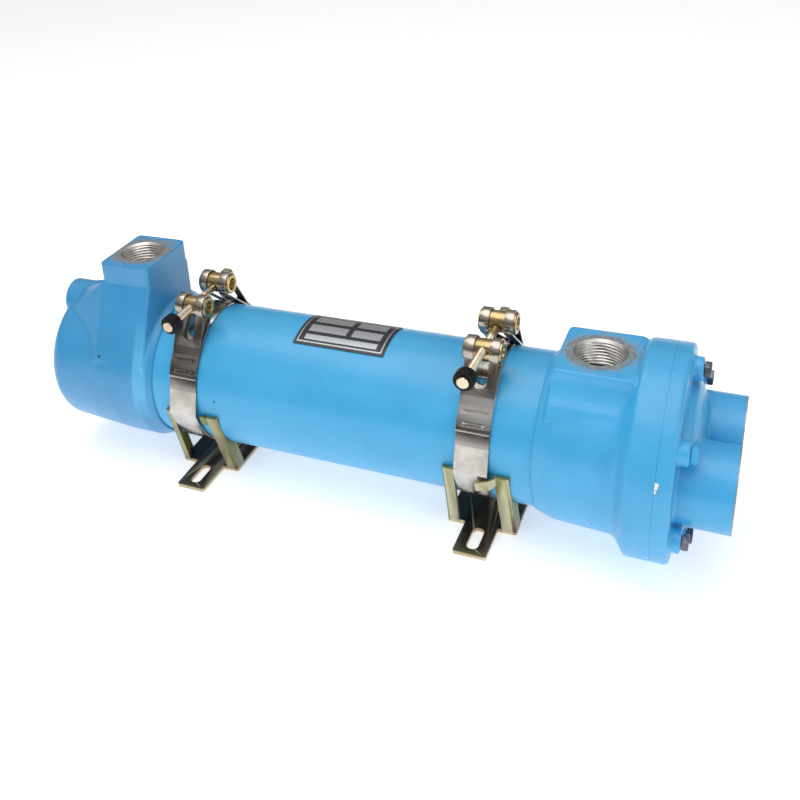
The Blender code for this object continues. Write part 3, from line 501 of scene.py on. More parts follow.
class Nodes:
    """A material's node tree, with short calls for the nodes that the finishes share."""

    def __init__(self, name, **values):
        self.material = bpy.data.materials.new(name)
        self.material.use_nodes = True
        self.tree = self.material.node_tree
        self.shader = self.tree.nodes["Principled BSDF"]
        self.place = self.tree.nodes.new("ShaderNodeTexCoord").outputs["Object"]
        for socket, value in values.items():
            self.shader.inputs[socket.replace("_", " ")].default_value = value

    def add(self, kind, inputs=None, **settings):
        node = self.tree.nodes.new(kind)
        for name, value in settings.items():
            setattr(node, name, value)
        for name, value in (inputs or {}).items():
            if isinstance(value, bpy.types.NodeSocket):
                self.tree.links.new(value, node.inputs[name])
            else:
                node.inputs[name].default_value = value
        return node

    def drive(self, **values):
        """Links values to the shader's own inputs."""
        for socket, value in values.items():
            self.tree.links.new(value, self.shader.inputs[socket.replace("_", " ")])

    def math(self, operation, first, second):
        return self.add("ShaderNodeMath", {0: first, 1: second}, operation=operation).outputs["Value"]

    def both(self, first, second):
        return self.math("MULTIPLY", first, second)

    def vector(self, operation, output, *values):
        node = self.add("ShaderNodeVectorMath", dict(enumerate(values)), operation=operation)
        return node.outputs[output]

    def along(self, axis):
        return self.add("ShaderNodeSeparateXYZ", {"Vector": self.place}).outputs[axis]

    def stretched(self, scale):
        return self.add("ShaderNodeMapping", {"Vector": self.place, "Scale": scale}).outputs["Vector"]

    def noise(self, scale, detail=3.0, roughness=0.55, vector=None):
        values = {"Vector": vector or self.place, "Scale": scale, "Detail": detail, "Roughness": roughness}
        return self.add("ShaderNodeTexNoise", values).outputs["Fac"]

    def remap(self, value, low, high, to_low=0.0, to_high=1.0):
        values = {"Value": value, "From Min": low, "From Max": high, "To Min": to_low, "To Max": to_high}
        return self.add("ShaderNodeMapRange", values).outputs["Result"]

    def mix(self, share, first, second):
        colors = {"Factor": share}
        for index, value in ((6, first), (7, second)):
            colors[index] = value if isinstance(value, bpy.types.NodeSocket) else (*value, 1.0)
        return self.add("ShaderNodeMix", colors, data_type="RGBA").outputs[2]

    def between(self, value, rise, fall, most=1.0):
        """Goes up over one range of a value and back to 0 over a later one."""
        return self.both(self.remap(value, *rise, 0.0, most), self.remap(value, *fall, 1.0, 0.0))

    def ragged_edge(self, radius, ragged, scale):
        return self.remap(self.noise(scale, 4.0), 0.3, 0.7, radius * (1 - ragged), radius * (1 + ragged))

    def near(self, point, radius):
        """1 within a ragged spot round a point, and 0 outside it."""
        distance = self.vector("DISTANCE", "Value", self.place, point)
        return self.math("LESS_THAN", distance, self.ragged_edge(radius, 0.5, 700.0))

    def near_axis(self, point, across, radius, ragged, reach):
        """1 within a radius of a port's axis, from its mouth at a point down to a reach below it.

        The axis is the one whose factor in across is 0.
        """
        offset = self.vector("SUBTRACT", "Vector", self.place, point)
        distance = self.vector("LENGTH", "Value", self.vector("MULTIPLY", "Vector", offset, across))
        inside = self.math("LESS_THAN", distance, self.ragged_edge(radius, ragged, 150.0))
        height = self.vector("DOT_PRODUCT", "Value", offset, tuple(1.0 - factor for factor in across))
        return self.both(inside, self.math("GREATER_THAN", height, -reach))

    def bump(self, height, distance, strength, **normal):
        values = {"Height": height, "Distance": distance, "Strength": strength, **normal}
        return self.add("ShaderNodeBump", values).outputs["Normal"]

    def edges(self, low=0.52, high=0.62):
        """1 on sharp outer edges, where a finish wears first and where painted highlights go."""
        return self.remap(self.add("ShaderNodeNewGeometry").outputs["Pointiness"], low, high)


def spread(middle, half):
    return middle - half, middle + half


def port_faces(n, body, ports):
    """Bares each port's bore and soils its face: gives the colour, and how far a place is bare metal.

    Ports are (point, axis as 0 or 1 factors, the bare ring's radius, how ragged it is).
    """
    metal = None
    for point, across, bare_radius, ragged in ports:
        ring = n.near_axis(point, across, bare_radius, ragged, FACE_DEPTH)
        face = n.near_axis(point, across, FACE_REACH, ragged, FACE_DEPTH)
        bore = n.near_axis(point, across, PORT_RADIUS + PORT_CHAMFER + 0.1 * MM, 0.0, BARE_DEPTH)
        grime = n.mix(n.remap(n.noise(300.0, 5.0, 0.7), 0.35, 0.65), RING_DARK, RING_LIGHT)
        smear = n.remap(n.noise(110.0, 4.0, 0.6), 0.35, 0.65, 0.05, 0.4)
        body = n.mix(n.both(face, smear), body, grime)
        patchy = n.remap(n.noise(240.0, 4.0, 0.6), 0.3, 0.7, 0.45, 1.0)
        body = n.mix(n.both(ring, patchy), body, grime)
        body = n.mix(bore, body, THREAD_LIGHT)
        bare = n.math("MAXIMUM", n.both(ring, 0.35), bore)
        metal = n.math("MAXIMUM", metal, bare) if metal else bare
    return body, metal


def mouth_highlight_strip(n):
    """How far a place lies in the paler strip near the return end's mouth, a painted highlight standing for a
    lit chamfer, which fades above and below.
    """
    around_mouth = n.between(n.along("X"), spread(RETURN_MOUTH_X - 15 * MM, 1.5 * MM),
                             spread(RETURN_MOUTH_X - 5 * MM, 1.5 * MM), 0.8)
    fade = n.between(n.along("Z"), (AXIS - 22 * MM, AXIS + 3 * MM), (AXIS + 32 * MM, AXIS + 62 * MM))
    return n.both(around_mouth, fade)


def blue_enamel(name, base, dark, grain, chips=(), ports=(), painted_mouth_highlight=False):
    """Sprayed enamel: an even colour with slight clouding, orange peel, pores and chips."""
    n = Nodes(name, Coat_Weight=0.25, Coat_Roughness=0.22)
    body = n.mix(n.remap(n.noise(28.0, 4.0), 0.3, 0.7), dark, base)
    dust = n.remap(n.noise(420.0, 3.0, 0.7), 0.66, 0.72, 0.0, 0.35)
    body = n.mix(dust, body, tuple(c * 0.6 for c in dark))
    # Painted highlight: a paler strip near the return end's mouth
    if painted_mouth_highlight:
        body = n.mix(mouth_highlight_strip(n), body, MOUTH_HIGHLIGHT_BLUE)
    for point, radius, tint in chips:
        body = n.mix(n.near(point, radius), body, tint)
    body, metal = port_faces(n, body, ports)
    if metal:
        n.drive(Metallic=metal)
    peel = n.bump(n.noise(520.0, 2.0), 0.12 * MM, 0.35)
    n.drive(Base_Color=body, Roughness=n.remap(n.noise(160.0, 4.0), 0.3, 0.7, 0.30, 0.46),
            Normal=n.bump(n.noise(170.0, 5.0, 0.6), grain, 0.8, Normal=peel))
    return n.material


def brushed(name, base, dark, roughness, edge_wear_and_highlight=0.0, stretch=(1, 1, 1), metallic=1.0, zones=()):
    """Rolled or drawn metal: fine lines along one direction, with stains, and brighter edges that are partly
    wear and partly painted highlight.

    Zones are stretches of painted shadow and painted reflection, as (lowest height, highest height, colour).
    """
    n = Nodes(name, Metallic=metallic)
    lines = n.noise(900.0, 4.0, 0.6, n.stretched(stretch))
    stains = n.remap(n.noise(60.0, 5.0, 0.6), 0.35, 0.7)
    body = n.mix(stains, base, dark)
    body = n.mix(n.remap(lines, 0.3, 0.7, 0.0, 0.35), body, dark)
    for low, high, tint in zones:
        inside = n.between(n.along("Z"), spread(low, 0.6 * MM), spread(high, 0.6 * MM), 0.85)
        body = n.mix(inside, body, tint)
    # Brighter sharp edges: partly wear, partly painted highlight
    if edge_wear_and_highlight:
        bright = tuple(min(1.0, c * 1.5 + 0.08) for c in base)
        body = n.mix(n.both(n.edges(), edge_wear_and_highlight), body, bright)
    n.drive(Base_Color=body, Roughness=n.remap(n.math("ADD", lines, stains), 0.6, 1.5, *roughness),
            Normal=n.bump(lines, 0.06 * MM, 0.5))
    return n.material


def yellow_zinc(name):
    """Chromated zinc: olive and golden clouds on the strips, painted shade in dark brown on top of the base
    plate, and a painted highlight on sharp edges.
    """
    n = Nodes(name, Metallic=0.65, Coat_Weight=0.1, Coat_Roughness=0.3)
    ramp = n.add("ShaderNodeValToRGB", {"Fac": n.noise(30.0, 2.0, 0.5)})
    stops = ramp.color_ramp.elements
    stops[0].position, stops[0].color = 0.36, (0.17, 0.12, 0.05, 1)
    stops[1].position, stops[1].color = 0.66, (0.29, 0.29, 0.085, 1)
    stops.new(0.48).color = (0.20, 0.20, 0.05, 1)
    height = n.along("Z")
    # Painted shade: dark brown, patchy, on top of the base plate and low on the posts
    base_shade = n.between(height, (SHEET - 0.5 * MM, SHEET - 0.2 * MM), (SHEET + 0.3 * MM, SHEET + 9 * MM))
    base_shade_patches = n.remap(n.noise(90.0, 3.0), 0.35, 0.6, 0.72, 1.0)
    body = n.mix(n.both(base_shade, base_shade_patches), ramp.outputs["Color"], BASE_SHADE_BROWN)
    cut_edge = n.remap(height, SHEET - 0.9 * MM, SHEET - 0.4 * MM, 0.7, 0.0)
    body = n.mix(cut_edge, body, (0.58, 0.42, 0.30))
    # Painted highlight: pale gold on sharp edges, where they catch the light
    body = n.mix(n.both(n.edges(0.53, 0.60), 0.6), body, (0.78, 0.72, 0.52))
    n.drive(Base_Color=body, Roughness=n.remap(n.noise(120.0, 3.0), 0.3, 0.7, 0.34, 0.5),
            Normal=n.bump(n.noise(260.0, 2.0), 0.03 * MM, 0.3))
    return n.material


def plain(name, base, roughness, scale=300.0, **values):
    """Moulded plastic, fibre or paper with a fine uneven surface."""
    n = Nodes(name, **values)
    n.drive(Base_Color=n.mix(n.noise(scale / 4), tuple(c * 0.93 for c in base), base),
            Roughness=n.remap(n.noise(scale), 0.3, 0.7, *roughness),
            Normal=n.bump(n.noise(scale * 2), 0.05 * MM, 0.4))
    return n.material


def oil_port(boss, ring, ragged):
    return (boss["x"], 0, AXIS + boss["height"]), (1, 1, 0), ring, ragged


tube_blue = blue_enamel("tube_enamel", (0.055, 0.415, 0.750), (0.046, 0.370, 0.690), 0.04 * MM,
                        [((-0.0998, -0.0536, AXIS + 0.0069), 1.0 * MM, PORE_DARK),
                         ((-0.1004, -0.0540, AXIS + 0.0009), 0.6 * MM, PORE_DARK)])
port_end_blue = blue_enamel("port_end_enamel", CAST_BLUE, CAST_BLUE_DARK, CAST_GRAIN,
                            ports=[oil_port(PORT_END_BOSS, MASKED_RING, 0.05)])
cover_blue = blue_enamel("cover_enamel", CAST_BLUE, CAST_BLUE_DARK, CAST_GRAIN,
                         [((0.2140, -0.0693, AXIS + 0.0222), 1.7 * MM, CHIP_WHITE),
                          ((0.2138, -0.0700, AXIS + 0.0200), 1.3 * MM, CHIP_WHITE),
                          ((0.2136, -0.0706, AXIS + 0.0178), 0.9 * MM, CHIP_WHITE)],
                         [((PORT_FACE_X, side * WATER_BOSS_Y, AXIS), (0, 1, 1), WATER_FACE_RING, 0.0)
                          for side in (-1, 1)])
# A darker copy of the casting blue: painted shade, as the return end gets less light
return_shaded_blue = blue_enamel("return_end_shaded_enamel", (0.045, 0.305, 0.600), (0.038, 0.265, 0.540), CAST_GRAIN,
                          [((-0.2011, -0.0530, AXIS + 0.0281), 1.1 * MM, PORE_DARK)],
                          [oil_port(RETURN_BOSS, GRIMY_RING, 0.12)], painted_mouth_highlight=True)
bolt_blue = blue_enamel("painted_bolt_finish", CAST_BLUE, CAST_BLUE_DARK, 0.1 * MM)
steel_bright = brushed("bright_steel_finish", (0.72, 0.71, 0.69), (0.48, 0.46, 0.43), (0.16, 0.32), 0.3)
screw_cream = brushed("clamp_bolt_finish", (0.78, 0.66, 0.50), (0.52, 0.40, 0.28), (0.22, 0.36), 0.3)
bolt_dark = brushed("cover_bolt_finish", (0.16, 0.15, 0.17), (0.07, 0.07, 0.09), (0.28, 0.48), 0.8,
                    metallic=0.8)
stainless = brushed("stainless_finish", *BAND_STEEL, (0.16, 0.34), 0.9, (14, 1, 1))
band_steel = {}
for side in SIDES:
    # Painted shadow below each folded end, painted reflection on the folded end, and the trunnions' gold as a
    # painted reflection near the loops
    zones = [(AXIS + 12 * MM, AXIS + 24.5 * MM, BAND_SHADOW),
             (AXIS + 25.5 * MM, AXIS + 43 * MM, FOLDED_END_REFLECTION[side]),
             (AXIS + 49 * MM, AXIS + 90 * MM, LOOP_GOLD_REFLECTION)]
    band_steel[side] = brushed(f"{side}_band_finish", *BAND_STEEL, (0.16, 0.34), 0.9, (14, 1, 1),
                               zones=zones)
zinc = yellow_zinc("yellow_zinc_finish")
gold = brushed("trunnion_gold", (0.56, 0.43, 0.20), (0.33, 0.23, 0.11), (0.2, 0.36), 0.5)
nylon = plain("black_nylon_finish", (0.003, 0.003, 0.004), (0.4, 0.6), Specular_IOR_Level=0.25)
plate_black = plain("plate_black", (0.022, 0.023, 0.027), (0.22, 0.36))
plate_silver = brushed("plate_silver", (0.58, 0.60, 0.62), (0.45, 0.46, 0.48), (0.25, 0.4),
                       stretch=(12, 1, 1), metallic=0.7)
copper = brushed("copper_finish", (0.72, 0.38, 0.22), (0.45, 0.22, 0.12), (0.2, 0.45), stretch=(1, 10, 10))
brass = brushed("brass_finish", (0.70, 0.55, 0.25), (0.45, 0.33, 0.14), (0.2, 0.45), stretch=(1, 10, 10))
fibre = plain("gasket_fibre_finish", (0.10, 0.13, 0.10), (0.7, 0.9))
floor_white = plain("floor_paper", (0.93, 0.93, 0.93), (0.6, 0.7), 60.0,
                    Emission_Color=(1.0, 1.0, 1.0, 1.0), Emission_Strength=FLOOR_GLOW)


# Inner pieces keep their CAD shapes

INNER_FINISHES = {
    "u_tube_": copper,
    "baffle_": brass,
    "tube_sheet": brass,
    "tie_rod_": steel_bright,
    "shell_side_gasket": fibre,
    "cover_side_gasket": fibre,
}
for start, finish in INNER_FINISHES.items():
    for name in nodes:
        if name.startswith(start):
            dress(bpy.data.objects[name], finish)


def hand_over(piece, body, slot, *node_names):
    """Puts a piece on its body, in place of the CAD nodes that it shows."""
    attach(piece, body)
    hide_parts(*node_names)


# Shell

def make_shell():
    """The plain tube, with the sharpness taken off its ends."""
    low, high, edge = shell_low.x, shell_high.x, SHELL_EDGE
    inside = SHELL_RADIUS - SHELL_WALL
    profile = [(low, inside), (low, SHELL_RADIUS - edge), (low + edge, SHELL_RADIUS)]
    profile += [(high - edge, SHELL_RADIUS), (high, SHELL_RADIUS - edge), (high, inside)]
    shell = make_object("shell_detail", on_axis(turned(profile)), tube_blue)
    hand_over(shell, "cooler", "blue_enamel", "shell_tube")


# Castings

def disc(radius, low, high, y, z, sides=96):
    return solid(rod(radius, low, high, sides, (y, z)))


def boss_mouth(boss):
    return boss["x"], 0, AXIS + boss["height"]


def square_boss(boss):
    """The block round an oil port, with the rounded upright edges of its pattern."""
    x, _, top = boss_mouth(boss)
    half_x, half_y = boss["width"] / 2, boss["depth"] / 2
    corners = [(x + half_x, half_y), (x - half_x, half_y), (x - half_x, -half_y), (x + half_x, -half_y)]
    return solid(prism(rounded(corners, BOSS_CORNER), AXIS + BOSS_ROOT, top, "Z"))


def web(points, low, high):
    """A block along X between two mirrored flanks of (distance from the middle, height above the axis)."""
    outline = points + [(-y, z) for y, z in reversed(points)]
    return solid(on_axis(prism(outline, low, high)))


def cover_bolt_places():
    places = []
    for i in range(COVER_BOLTS):
        low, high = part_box(f"cover_bolt_{i + 1}")
        places.append(((low.y + high.y) / 2, (low.z + high.z) / 2))
    return places


def bolt_hole_cutters(low, high):
    return [disc(BOLT_HOLE_RADIUS, low, high, y, z, 24) for y, z in cover_bolt_places()]


def make_port_end_housing():
    lip, back = HOUSING_LIP_X, FLANGE_END_X
    front = back - FLANGE_THICKNESS
    flare = HOUSING_RADIUS + HOUSING_FLARE
    outer = [(lip, 0), (lip, SHELL_RADIUS + LIP), (HOUSING_SHOULDER_X, HOUSING_RADIUS - 0.5 * MM)]
    outer += [(front - FLARE_END, flare)]
    outer += arc((front - FILLET_START, flare + FLANGE_FILLET), FLANGE_FILLET, -90, -30, 6)
    outer += [(front, FLANGE_RADIUS - FLANGE_EDGE), (front + FLANGE_EDGE, FLANGE_RADIUS)]
    outer += [(back + JOINT_CUT, FLANGE_RADIUS), (back + JOINT_CUT, 0)]
    body = solid(on_axis(turned(outer)))
    skirt = web(PORT_BOSS_FLANK, PORT_END_BOSS["x"] - PORT_END_BOSS["width"] / 2, front + 1 * MM)
    solids = [body, square_boss(PORT_END_BOSS), skirt]
    housing = cast("port_end_housing_detail", solids, port_end_blue)
    seat = SHELL_RADIUS + GAP
    start, end = lip - CUT_PAST, back + PAST_JOINT
    inside = [(start, 0), (start, seat), (lip + SEAT_DEPTH, seat)]
    inside += [(lip + SEAT_DEPTH, HOUSING_BORE), (end, HOUSING_BORE), (end, 0)]
    tools = [solid(on_axis(turned(inside))), slab(back + JOINT_CLEARANCE, end)]
    tools += bolt_hole_cutters(front + BLIND_END, end)
    tools += port_tools(boss_mouth(PORT_END_BOSS), (0, 0, 1), PORT_END_BORE, PORT_THREAD_LENGTH)
    combine(housing, tools, "DIFFERENCE")
    hand_over(housing, "cooler", "blue_enamel", "port_end_housing")


def loft(first, second, low, high):
    """A solid along X between two outlines with the same number of points, given above the axis."""
    bm = prism(first, low, high)
    for vert, (y, z) in zip(list(bm.verts)[len(first):], second):
        vert.co.y = y
        vert.co.z = z
    bmesh.ops.triangulate(bm, faces=bm.faces)
    return solid(on_axis(bm))


def casting_webs():
    """The flank from the boss's head down to the barrel, tangent to it, and its run-out to the lug."""
    half, root = RETURN_BOSS["depth"] / 2, RETURN_BOSS["height"] - BOSS_HEAD_HEIGHT
    touch = math.atan2(root, half) - math.acos(RETURN_RADIUS / math.hypot(half, root))
    foot = (-RETURN_RADIUS * math.cos(touch), RETURN_RADIUS * math.sin(touch))
    left, right = (RETURN_BOSS["x"] + side * RETURN_BOSS["width"] / 2 for side in (-1, 1))
    outline = [(0, 0), (foot[0], 0), foot, (-half, root), (half, root), (half, 0)]
    flank = loft(outline, outline, left, right)
    end = RETURN_END_RADIUS
    touch = math.asin((end - LUG_RADIUS) / LUG_HEIGHT)
    high = (LUG_RADIUS * math.cos(touch), LUG_HEIGHT + LUG_RADIUS * math.sin(touch))
    low = (end * math.cos(touch), end * math.sin(touch))
    at_lug = [(0, 0), (-end, 0), (-low[0], low[1]), (-high[0], high[1]), high, low]
    at_boss = [(0, 0), (foot[0], 0), foot, (-half, root), SHOULDER_REAR, low]
    run_out = loft(at_lug, at_boss, RETURN_END_X + LUG_STANDOFF + LUG_WEB_END, left + 0.5 * MM)
    return [flank, run_out]


def make_return_end_housing():
    mouth, end = RETURN_MOUTH_X, RETURN_END_X + LUG_STANDOFF
    edge = RETURN_EDGE_ROUND
    outer = [(end, 0)] + arc((end + edge, RETURN_END_RADIUS - edge), edge, 180, 90, 10)
    outer += [(x, RETURN_RADIUS) for x in RETURN_BARREL_X]
    outer += [(RETURN_BARREL_X[1] + RETURN_MOUTH_SLOPE[0], RETURN_RADIUS - RETURN_MOUTH_SLOPE[1])]
    outer += [(mouth, SHELL_RADIUS + LIP), (mouth, 0)]
    body = solid(on_axis(turned(outer)))
    lug = disc(LUG_RADIUS, RETURN_END_X, RETURN_BOSS["x"], 0, AXIS + LUG_HEIGHT)
    solids = [body, square_boss(RETURN_BOSS), lug] + casting_webs()
    housing = cast("return_end_housing_detail", solids, return_shaded_blue)
    seat, bore, wall = SHELL_RADIUS + GAP, RETURN_END_RADIUS - RETURN_WALL, end + RETURN_WALL
    start, step, (along, inward) = mouth + CUT_PAST, mouth - SEAT_DEPTH, RETURN_INNER_ROUND
    inside = [(start, 0), (start, seat), (step, seat), (step, bore)]
    inside += [(wall + along, bore), (wall, bore - inward), (wall, 0)]
    tools = [solid(on_axis(turned(inside)))]
    tools += port_tools(boss_mouth(RETURN_BOSS), (0, 0, 1), RETURN_BORE, PORT_THREAD_LENGTH)
    combine(housing, tools, "DIFFERENCE")
    hand_over(housing, "cooler", "blue_enamel", "return_end_housing")


def make_water_cover():
    face = COVER_FACE_X
    outside = face + COVER_FLANGE_THICKNESS
    dome = [(COVER_DOME_X - drop, radius) for drop, radius in COVER_DOME] + [(outside, COVER_DOME_RADIUS)]
    edge = FLANGE_EDGE_COVER
    rim = [(outside, FLANGE_RADIUS - edge), (outside - edge, FLANGE_RADIUS)]
    rim += [(face - JOINT_CUT, FLANGE_RADIUS), (face - JOINT_CUT, 0)]
    solids = [solid(on_axis(turned(dome + rim)))]
    for y in (-WATER_BOSS_Y, WATER_BOSS_Y):
        solids.append(disc(WATER_BOSS_RADIUS, outside - ROOTED, PORT_FACE_X + JOINT_CUT, y, AXIS))
    for y, z in cover_bolt_places():
        solids.append(disc(COVER_PAD_RADIUS, outside - ROOTED, outside + COVER_PAD, y, z, 48))
    cover = cast("water_cover_detail", solids, cover_blue)
    floor_x = face + COVER_RECESS
    start = face - PAST_JOINT
    inside = [(start, 0), (start, COVER_RECESS_RADIUS), (floor_x, COVER_RECESS_RADIUS)]
    inside += [(floor_x, COVER_CHAMBER_RADIUS), (COVER_CHAMBER_X - 4 * MM, COVER_CHAMBER_RADIUS - 2 * MM)]
    inside += [(COVER_CHAMBER_X, COVER_CHAMBER_RADIUS - 8 * MM), (COVER_CHAMBER_X, 0)]
    chamber = solid(on_axis(turned(inside)))
    half, tall = PASS_WALL / 2, COVER_RECESS_RADIUS
    wall = box((floor_x, -half, AXIS - tall), (COVER_CHAMBER_X + CUT_PAST, half, AXIS + tall))
    combine(chamber, [solid(wall)], "DIFFERENCE")
    tools = [chamber, slab(start, face - JOINT_CLEARANCE), slab(PORT_FACE_X, PORT_FACE_X + PAST_JOINT, 0)]
    tools += bolt_hole_cutters(start, PORT_FACE_X)
    for y in (-WATER_BOSS_Y, WATER_BOSS_Y):
        tools += port_tools((PORT_FACE_X, y, AXIS), (1, 0, 0), WATER_BORE, WATER_THREAD_LENGTH)
    combine(cover, tools, "DIFFERENCE")
    hand_over(cover, "cooler", "blue_enamel", "water_cover")


# Fasteners

def hexagon_head(across_flats, low, high, sides=48):
    """A hexagon head about X with the cone-cut corners of a forged bolt on its outer side."""
    across_corners = across_flats / math.cos(math.radians(30))
    head = solid(rod(across_corners / 2, low, high, 6))
    slope = (across_corners - across_flats) / 2
    drop = slope * math.tan(math.radians(30))
    face = across_flats / 2 - 0.2 * MM
    cone = [(low - CUT_PAST, 0), (low - CUT_PAST, across_corners / 2 + CUT_PAST)]
    cone += [(high - drop - 0.2 * MM, across_corners / 2 + 0.05 * MM), (high, face), (high, 0)]
    combine(head, [solid(turned(cone, sides))], "INTERSECT")
    return head


def make_cover_bolts():
    for i, (y, z) in enumerate(cover_bolt_places()):
        low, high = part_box(f"cover_bolt_{i + 1}")
        tip, top, radius = low.x, high.x, COVER_BOLT_RADIUS
        head = hexagon_head(COVER_BOLT_HEAD, top - COVER_HEAD_HEIGHT, top)
        end = top - 3 * MM
        point = 0.7 * MM
        shank = [(tip, 0), (tip, radius - point), (tip + point, radius), (end, radius), (end, 0)]
        combine(head, [solid(turned(shank, 24))], "UNION")
        wide, deep = HEAD_DISH
        dish = [(top - deep, 0), (top - deep, wide - 0.2 * MM), (top, wide + 0.2 * MM)]
        dish += [(top + CUT_PAST, wide + 0.2 * MM), (top + CUT_PAST, 0)]
        combine(head, [solid(turned(dish, 32))], "DIFFERENCE")
        turn = Matrix.Rotation(math.radians(COVER_BOLT_TURN * i), 4, "X")
        head.data.transform(Matrix.Translation((0, y, z)) @ turn)
        head.name = f"cover_bolt_{i + 1}_detail"
        dress(head, bolt_blue if i + 1 == PAINTED_BOLT else bolt_dark)
        soften(head, FINE_BEVEL, 30)
        hand_over(head, "cooler", "bright_steel", f"cover_bolt_{i + 1}")


# Clamps

def leaned(bm):
    """Turns a shape made at the top of the shell to where the clamps' screws sit."""
    turn = Matrix.Rotation(math.radians(CLAMP_LEAN), 3, "X")
    bmesh.ops.rotate(bm, verts=bm.verts, cent=Vector((0, 0, AXIS)), matrix=turn)
    return bm


def around(radius, angle, center=(0.0, 0.0)):
    """A point at an angle in degrees: 0 points away from the axis level with it, 90 points up."""
    return Vector((center[0] + radius * math.cos(math.radians(angle)),
                   center[1] + radius * math.sin(math.radians(angle))))


def sweep_angles(start, end, step_size):
    steps = max(1, round(abs(end - start) / step_size))
    return [start + (end - start) * step / steps for step in range(steps + 1)]


def tongue_corners():
    """The two outer corners of a post's tongue, as (distance from the axis plane, height above it)."""
    low_z = POST_TOP_Z - TONGUE_HEIGHT
    return (POST_TOP_Y, POST_TOP_Z - AXIS), (post_lean(low_z), low_z - AXIS)


def post_lean(height):
    """Distance from the axis plane of a post's outer face at a height."""
    return BRACKET_HALF_DEPTH + (POST_TOP_Y - BRACKET_HALF_DEPTH) * height / POST_TOP_Z


def band_half_path(lean):
    """The band's middle line on one side, from its folded end over the trunnion to the bottom."""
    lift = GAP + BAND_THICKNESS / 2
    tube = SHELL_RADIUS + lift
    second = tube + BAND_THICKNESS + GAP
    loop = TRUNNION_RADIUS + lift
    reach = math.hypot(TRUNNION_Y, TRUNNION_HEIGHT)
    bearing = math.degrees(math.atan2(TRUNNION_HEIGHT, TRUNNION_Y)) - lean
    trunnion = around(reach, bearing)
    inner = bearing - math.degrees(math.acos((tube + loop) / reach))
    fold = sweep_angles(FOLD_END - lean, FOLD_TOP - lean, BAND_STEP)
    turn = sweep_angles(FOLD_PINCH - lean, inner + 180, LOOP_STEP)
    path = [around(second, angle) for angle in fold]
    path += [around(loop, angle, trunnion) for angle in turn]
    corners = []
    for corner in tongue_corners():
        corners.append((math.hypot(*corner) + lift, math.degrees(math.atan2(corner[1], corner[0]))))
    (high, high_angle), (low, low_angle) = corners
    leaves = high_angle + math.degrees(math.acos(tube / high))
    returns = low_angle - math.degrees(math.acos(tube / low))
    path += [around(tube, angle) for angle in sweep_angles(inner, leaves, BAND_STEP)]
    path += [around(high, high_angle), around(low, low_angle)]
    path += [around(tube, angle) for angle in sweep_angles(returns, -90, BAND_STEP)]
    return path


def ribbon(path, thickness):
    """The outline of a strip of even thickness along a path."""
    sides = ([], [])
    for i, point in enumerate(path):
        along = (path[min(i + 1, len(path) - 1)] - path[max(i - 1, 0)]).normalized()
        normal = Vector((-along.y, along.x)) * thickness / 2
        sides[0].append(point + normal)
        sides[1].append(point - normal)
    return sides[0] + list(reversed(sides[1]))


def weld_dimples(side):
    """Cutters for the spot welds that hold each folded end down on the band below it."""
    tools = []
    radius = SHELL_RADIUS + 2 * BAND_THICKNESS + 2 * GAP
    for front, lean in ((-1, CLAMP_LEAN), (1, -CLAMP_LEAN)):
        for angle in WELD_ANGLES:
            for across in (-1, 1):
                place = around(radius + WELD_BALL - WELD_DEPTH, angle - lean)
                bm = bmesh.new()
                bmesh.ops.create_icosphere(bm, subdivisions=3, radius=WELD_BALL)
                x = CLAMP_X[side] + across * WELD_SPREAD
                tools.append(solid(moved(bm, (x, front * place.x, AXIS + place.y))))
    return tools


def make_band(side):
    front = [Vector((-p.x, p.y)) for p in band_half_path(CLAMP_LEAN)]
    path = front + list(reversed(band_half_path(-CLAMP_LEAN)[:-1]))
    outline = [(p.x, p.y + AXIS) for p in ribbon(path, BAND_THICKNESS)]
    middle = CLAMP_X[side]
    strip = prism(outline, middle - BAND_WIDTH / 2, middle + BAND_WIDTH / 2, "X")
    band = make_object(f"{side}_band_detail", strip, band_steel[side])
    half = FORK_WIDTH / 2
    root = AXIS + FORK_ROOT_HEIGHT + half
    top = AXIS + TRUNNION_HEIGHT + 2 * TRUNNION_RADIUS
    window = arc((middle, root), half, 180, 360, 24) + [(middle + half, top), (middle - half, top)]
    fork = solid(prism(window, -SHELL_RADIUS, SHELL_RADIUS, "Y"))
    combine(band, [fork] + weld_dimples(side), "DIFFERENCE")
    soften(band, BAND_BEVEL)
    hand_over(band, "cooler", "stainless_band", f"{side}_band")


def clamp_pivot(side):
    """The point midway between a clamp's trunnions, on its bolt's axis."""
    up = around(TRUNNION_HEIGHT, 90 + CLAMP_LEAN)
    return Vector((CLAMP_X[side], up.x, AXIS + up.y))


def bolt_direction(side):
    """The way from a clamp bolt's tail to its head."""
    tilt = math.radians(CLAMP_BOLT_TILT[side])
    return Vector((0, math.cos(tilt), -math.sin(tilt)))


def on_bolt_axis(side, bm):
    """Moves a shape made about X at the origin onto a clamp bolt's axis, with +X towards its head."""
    return aimed(bm, clamp_pivot(side), bolt_direction(side))


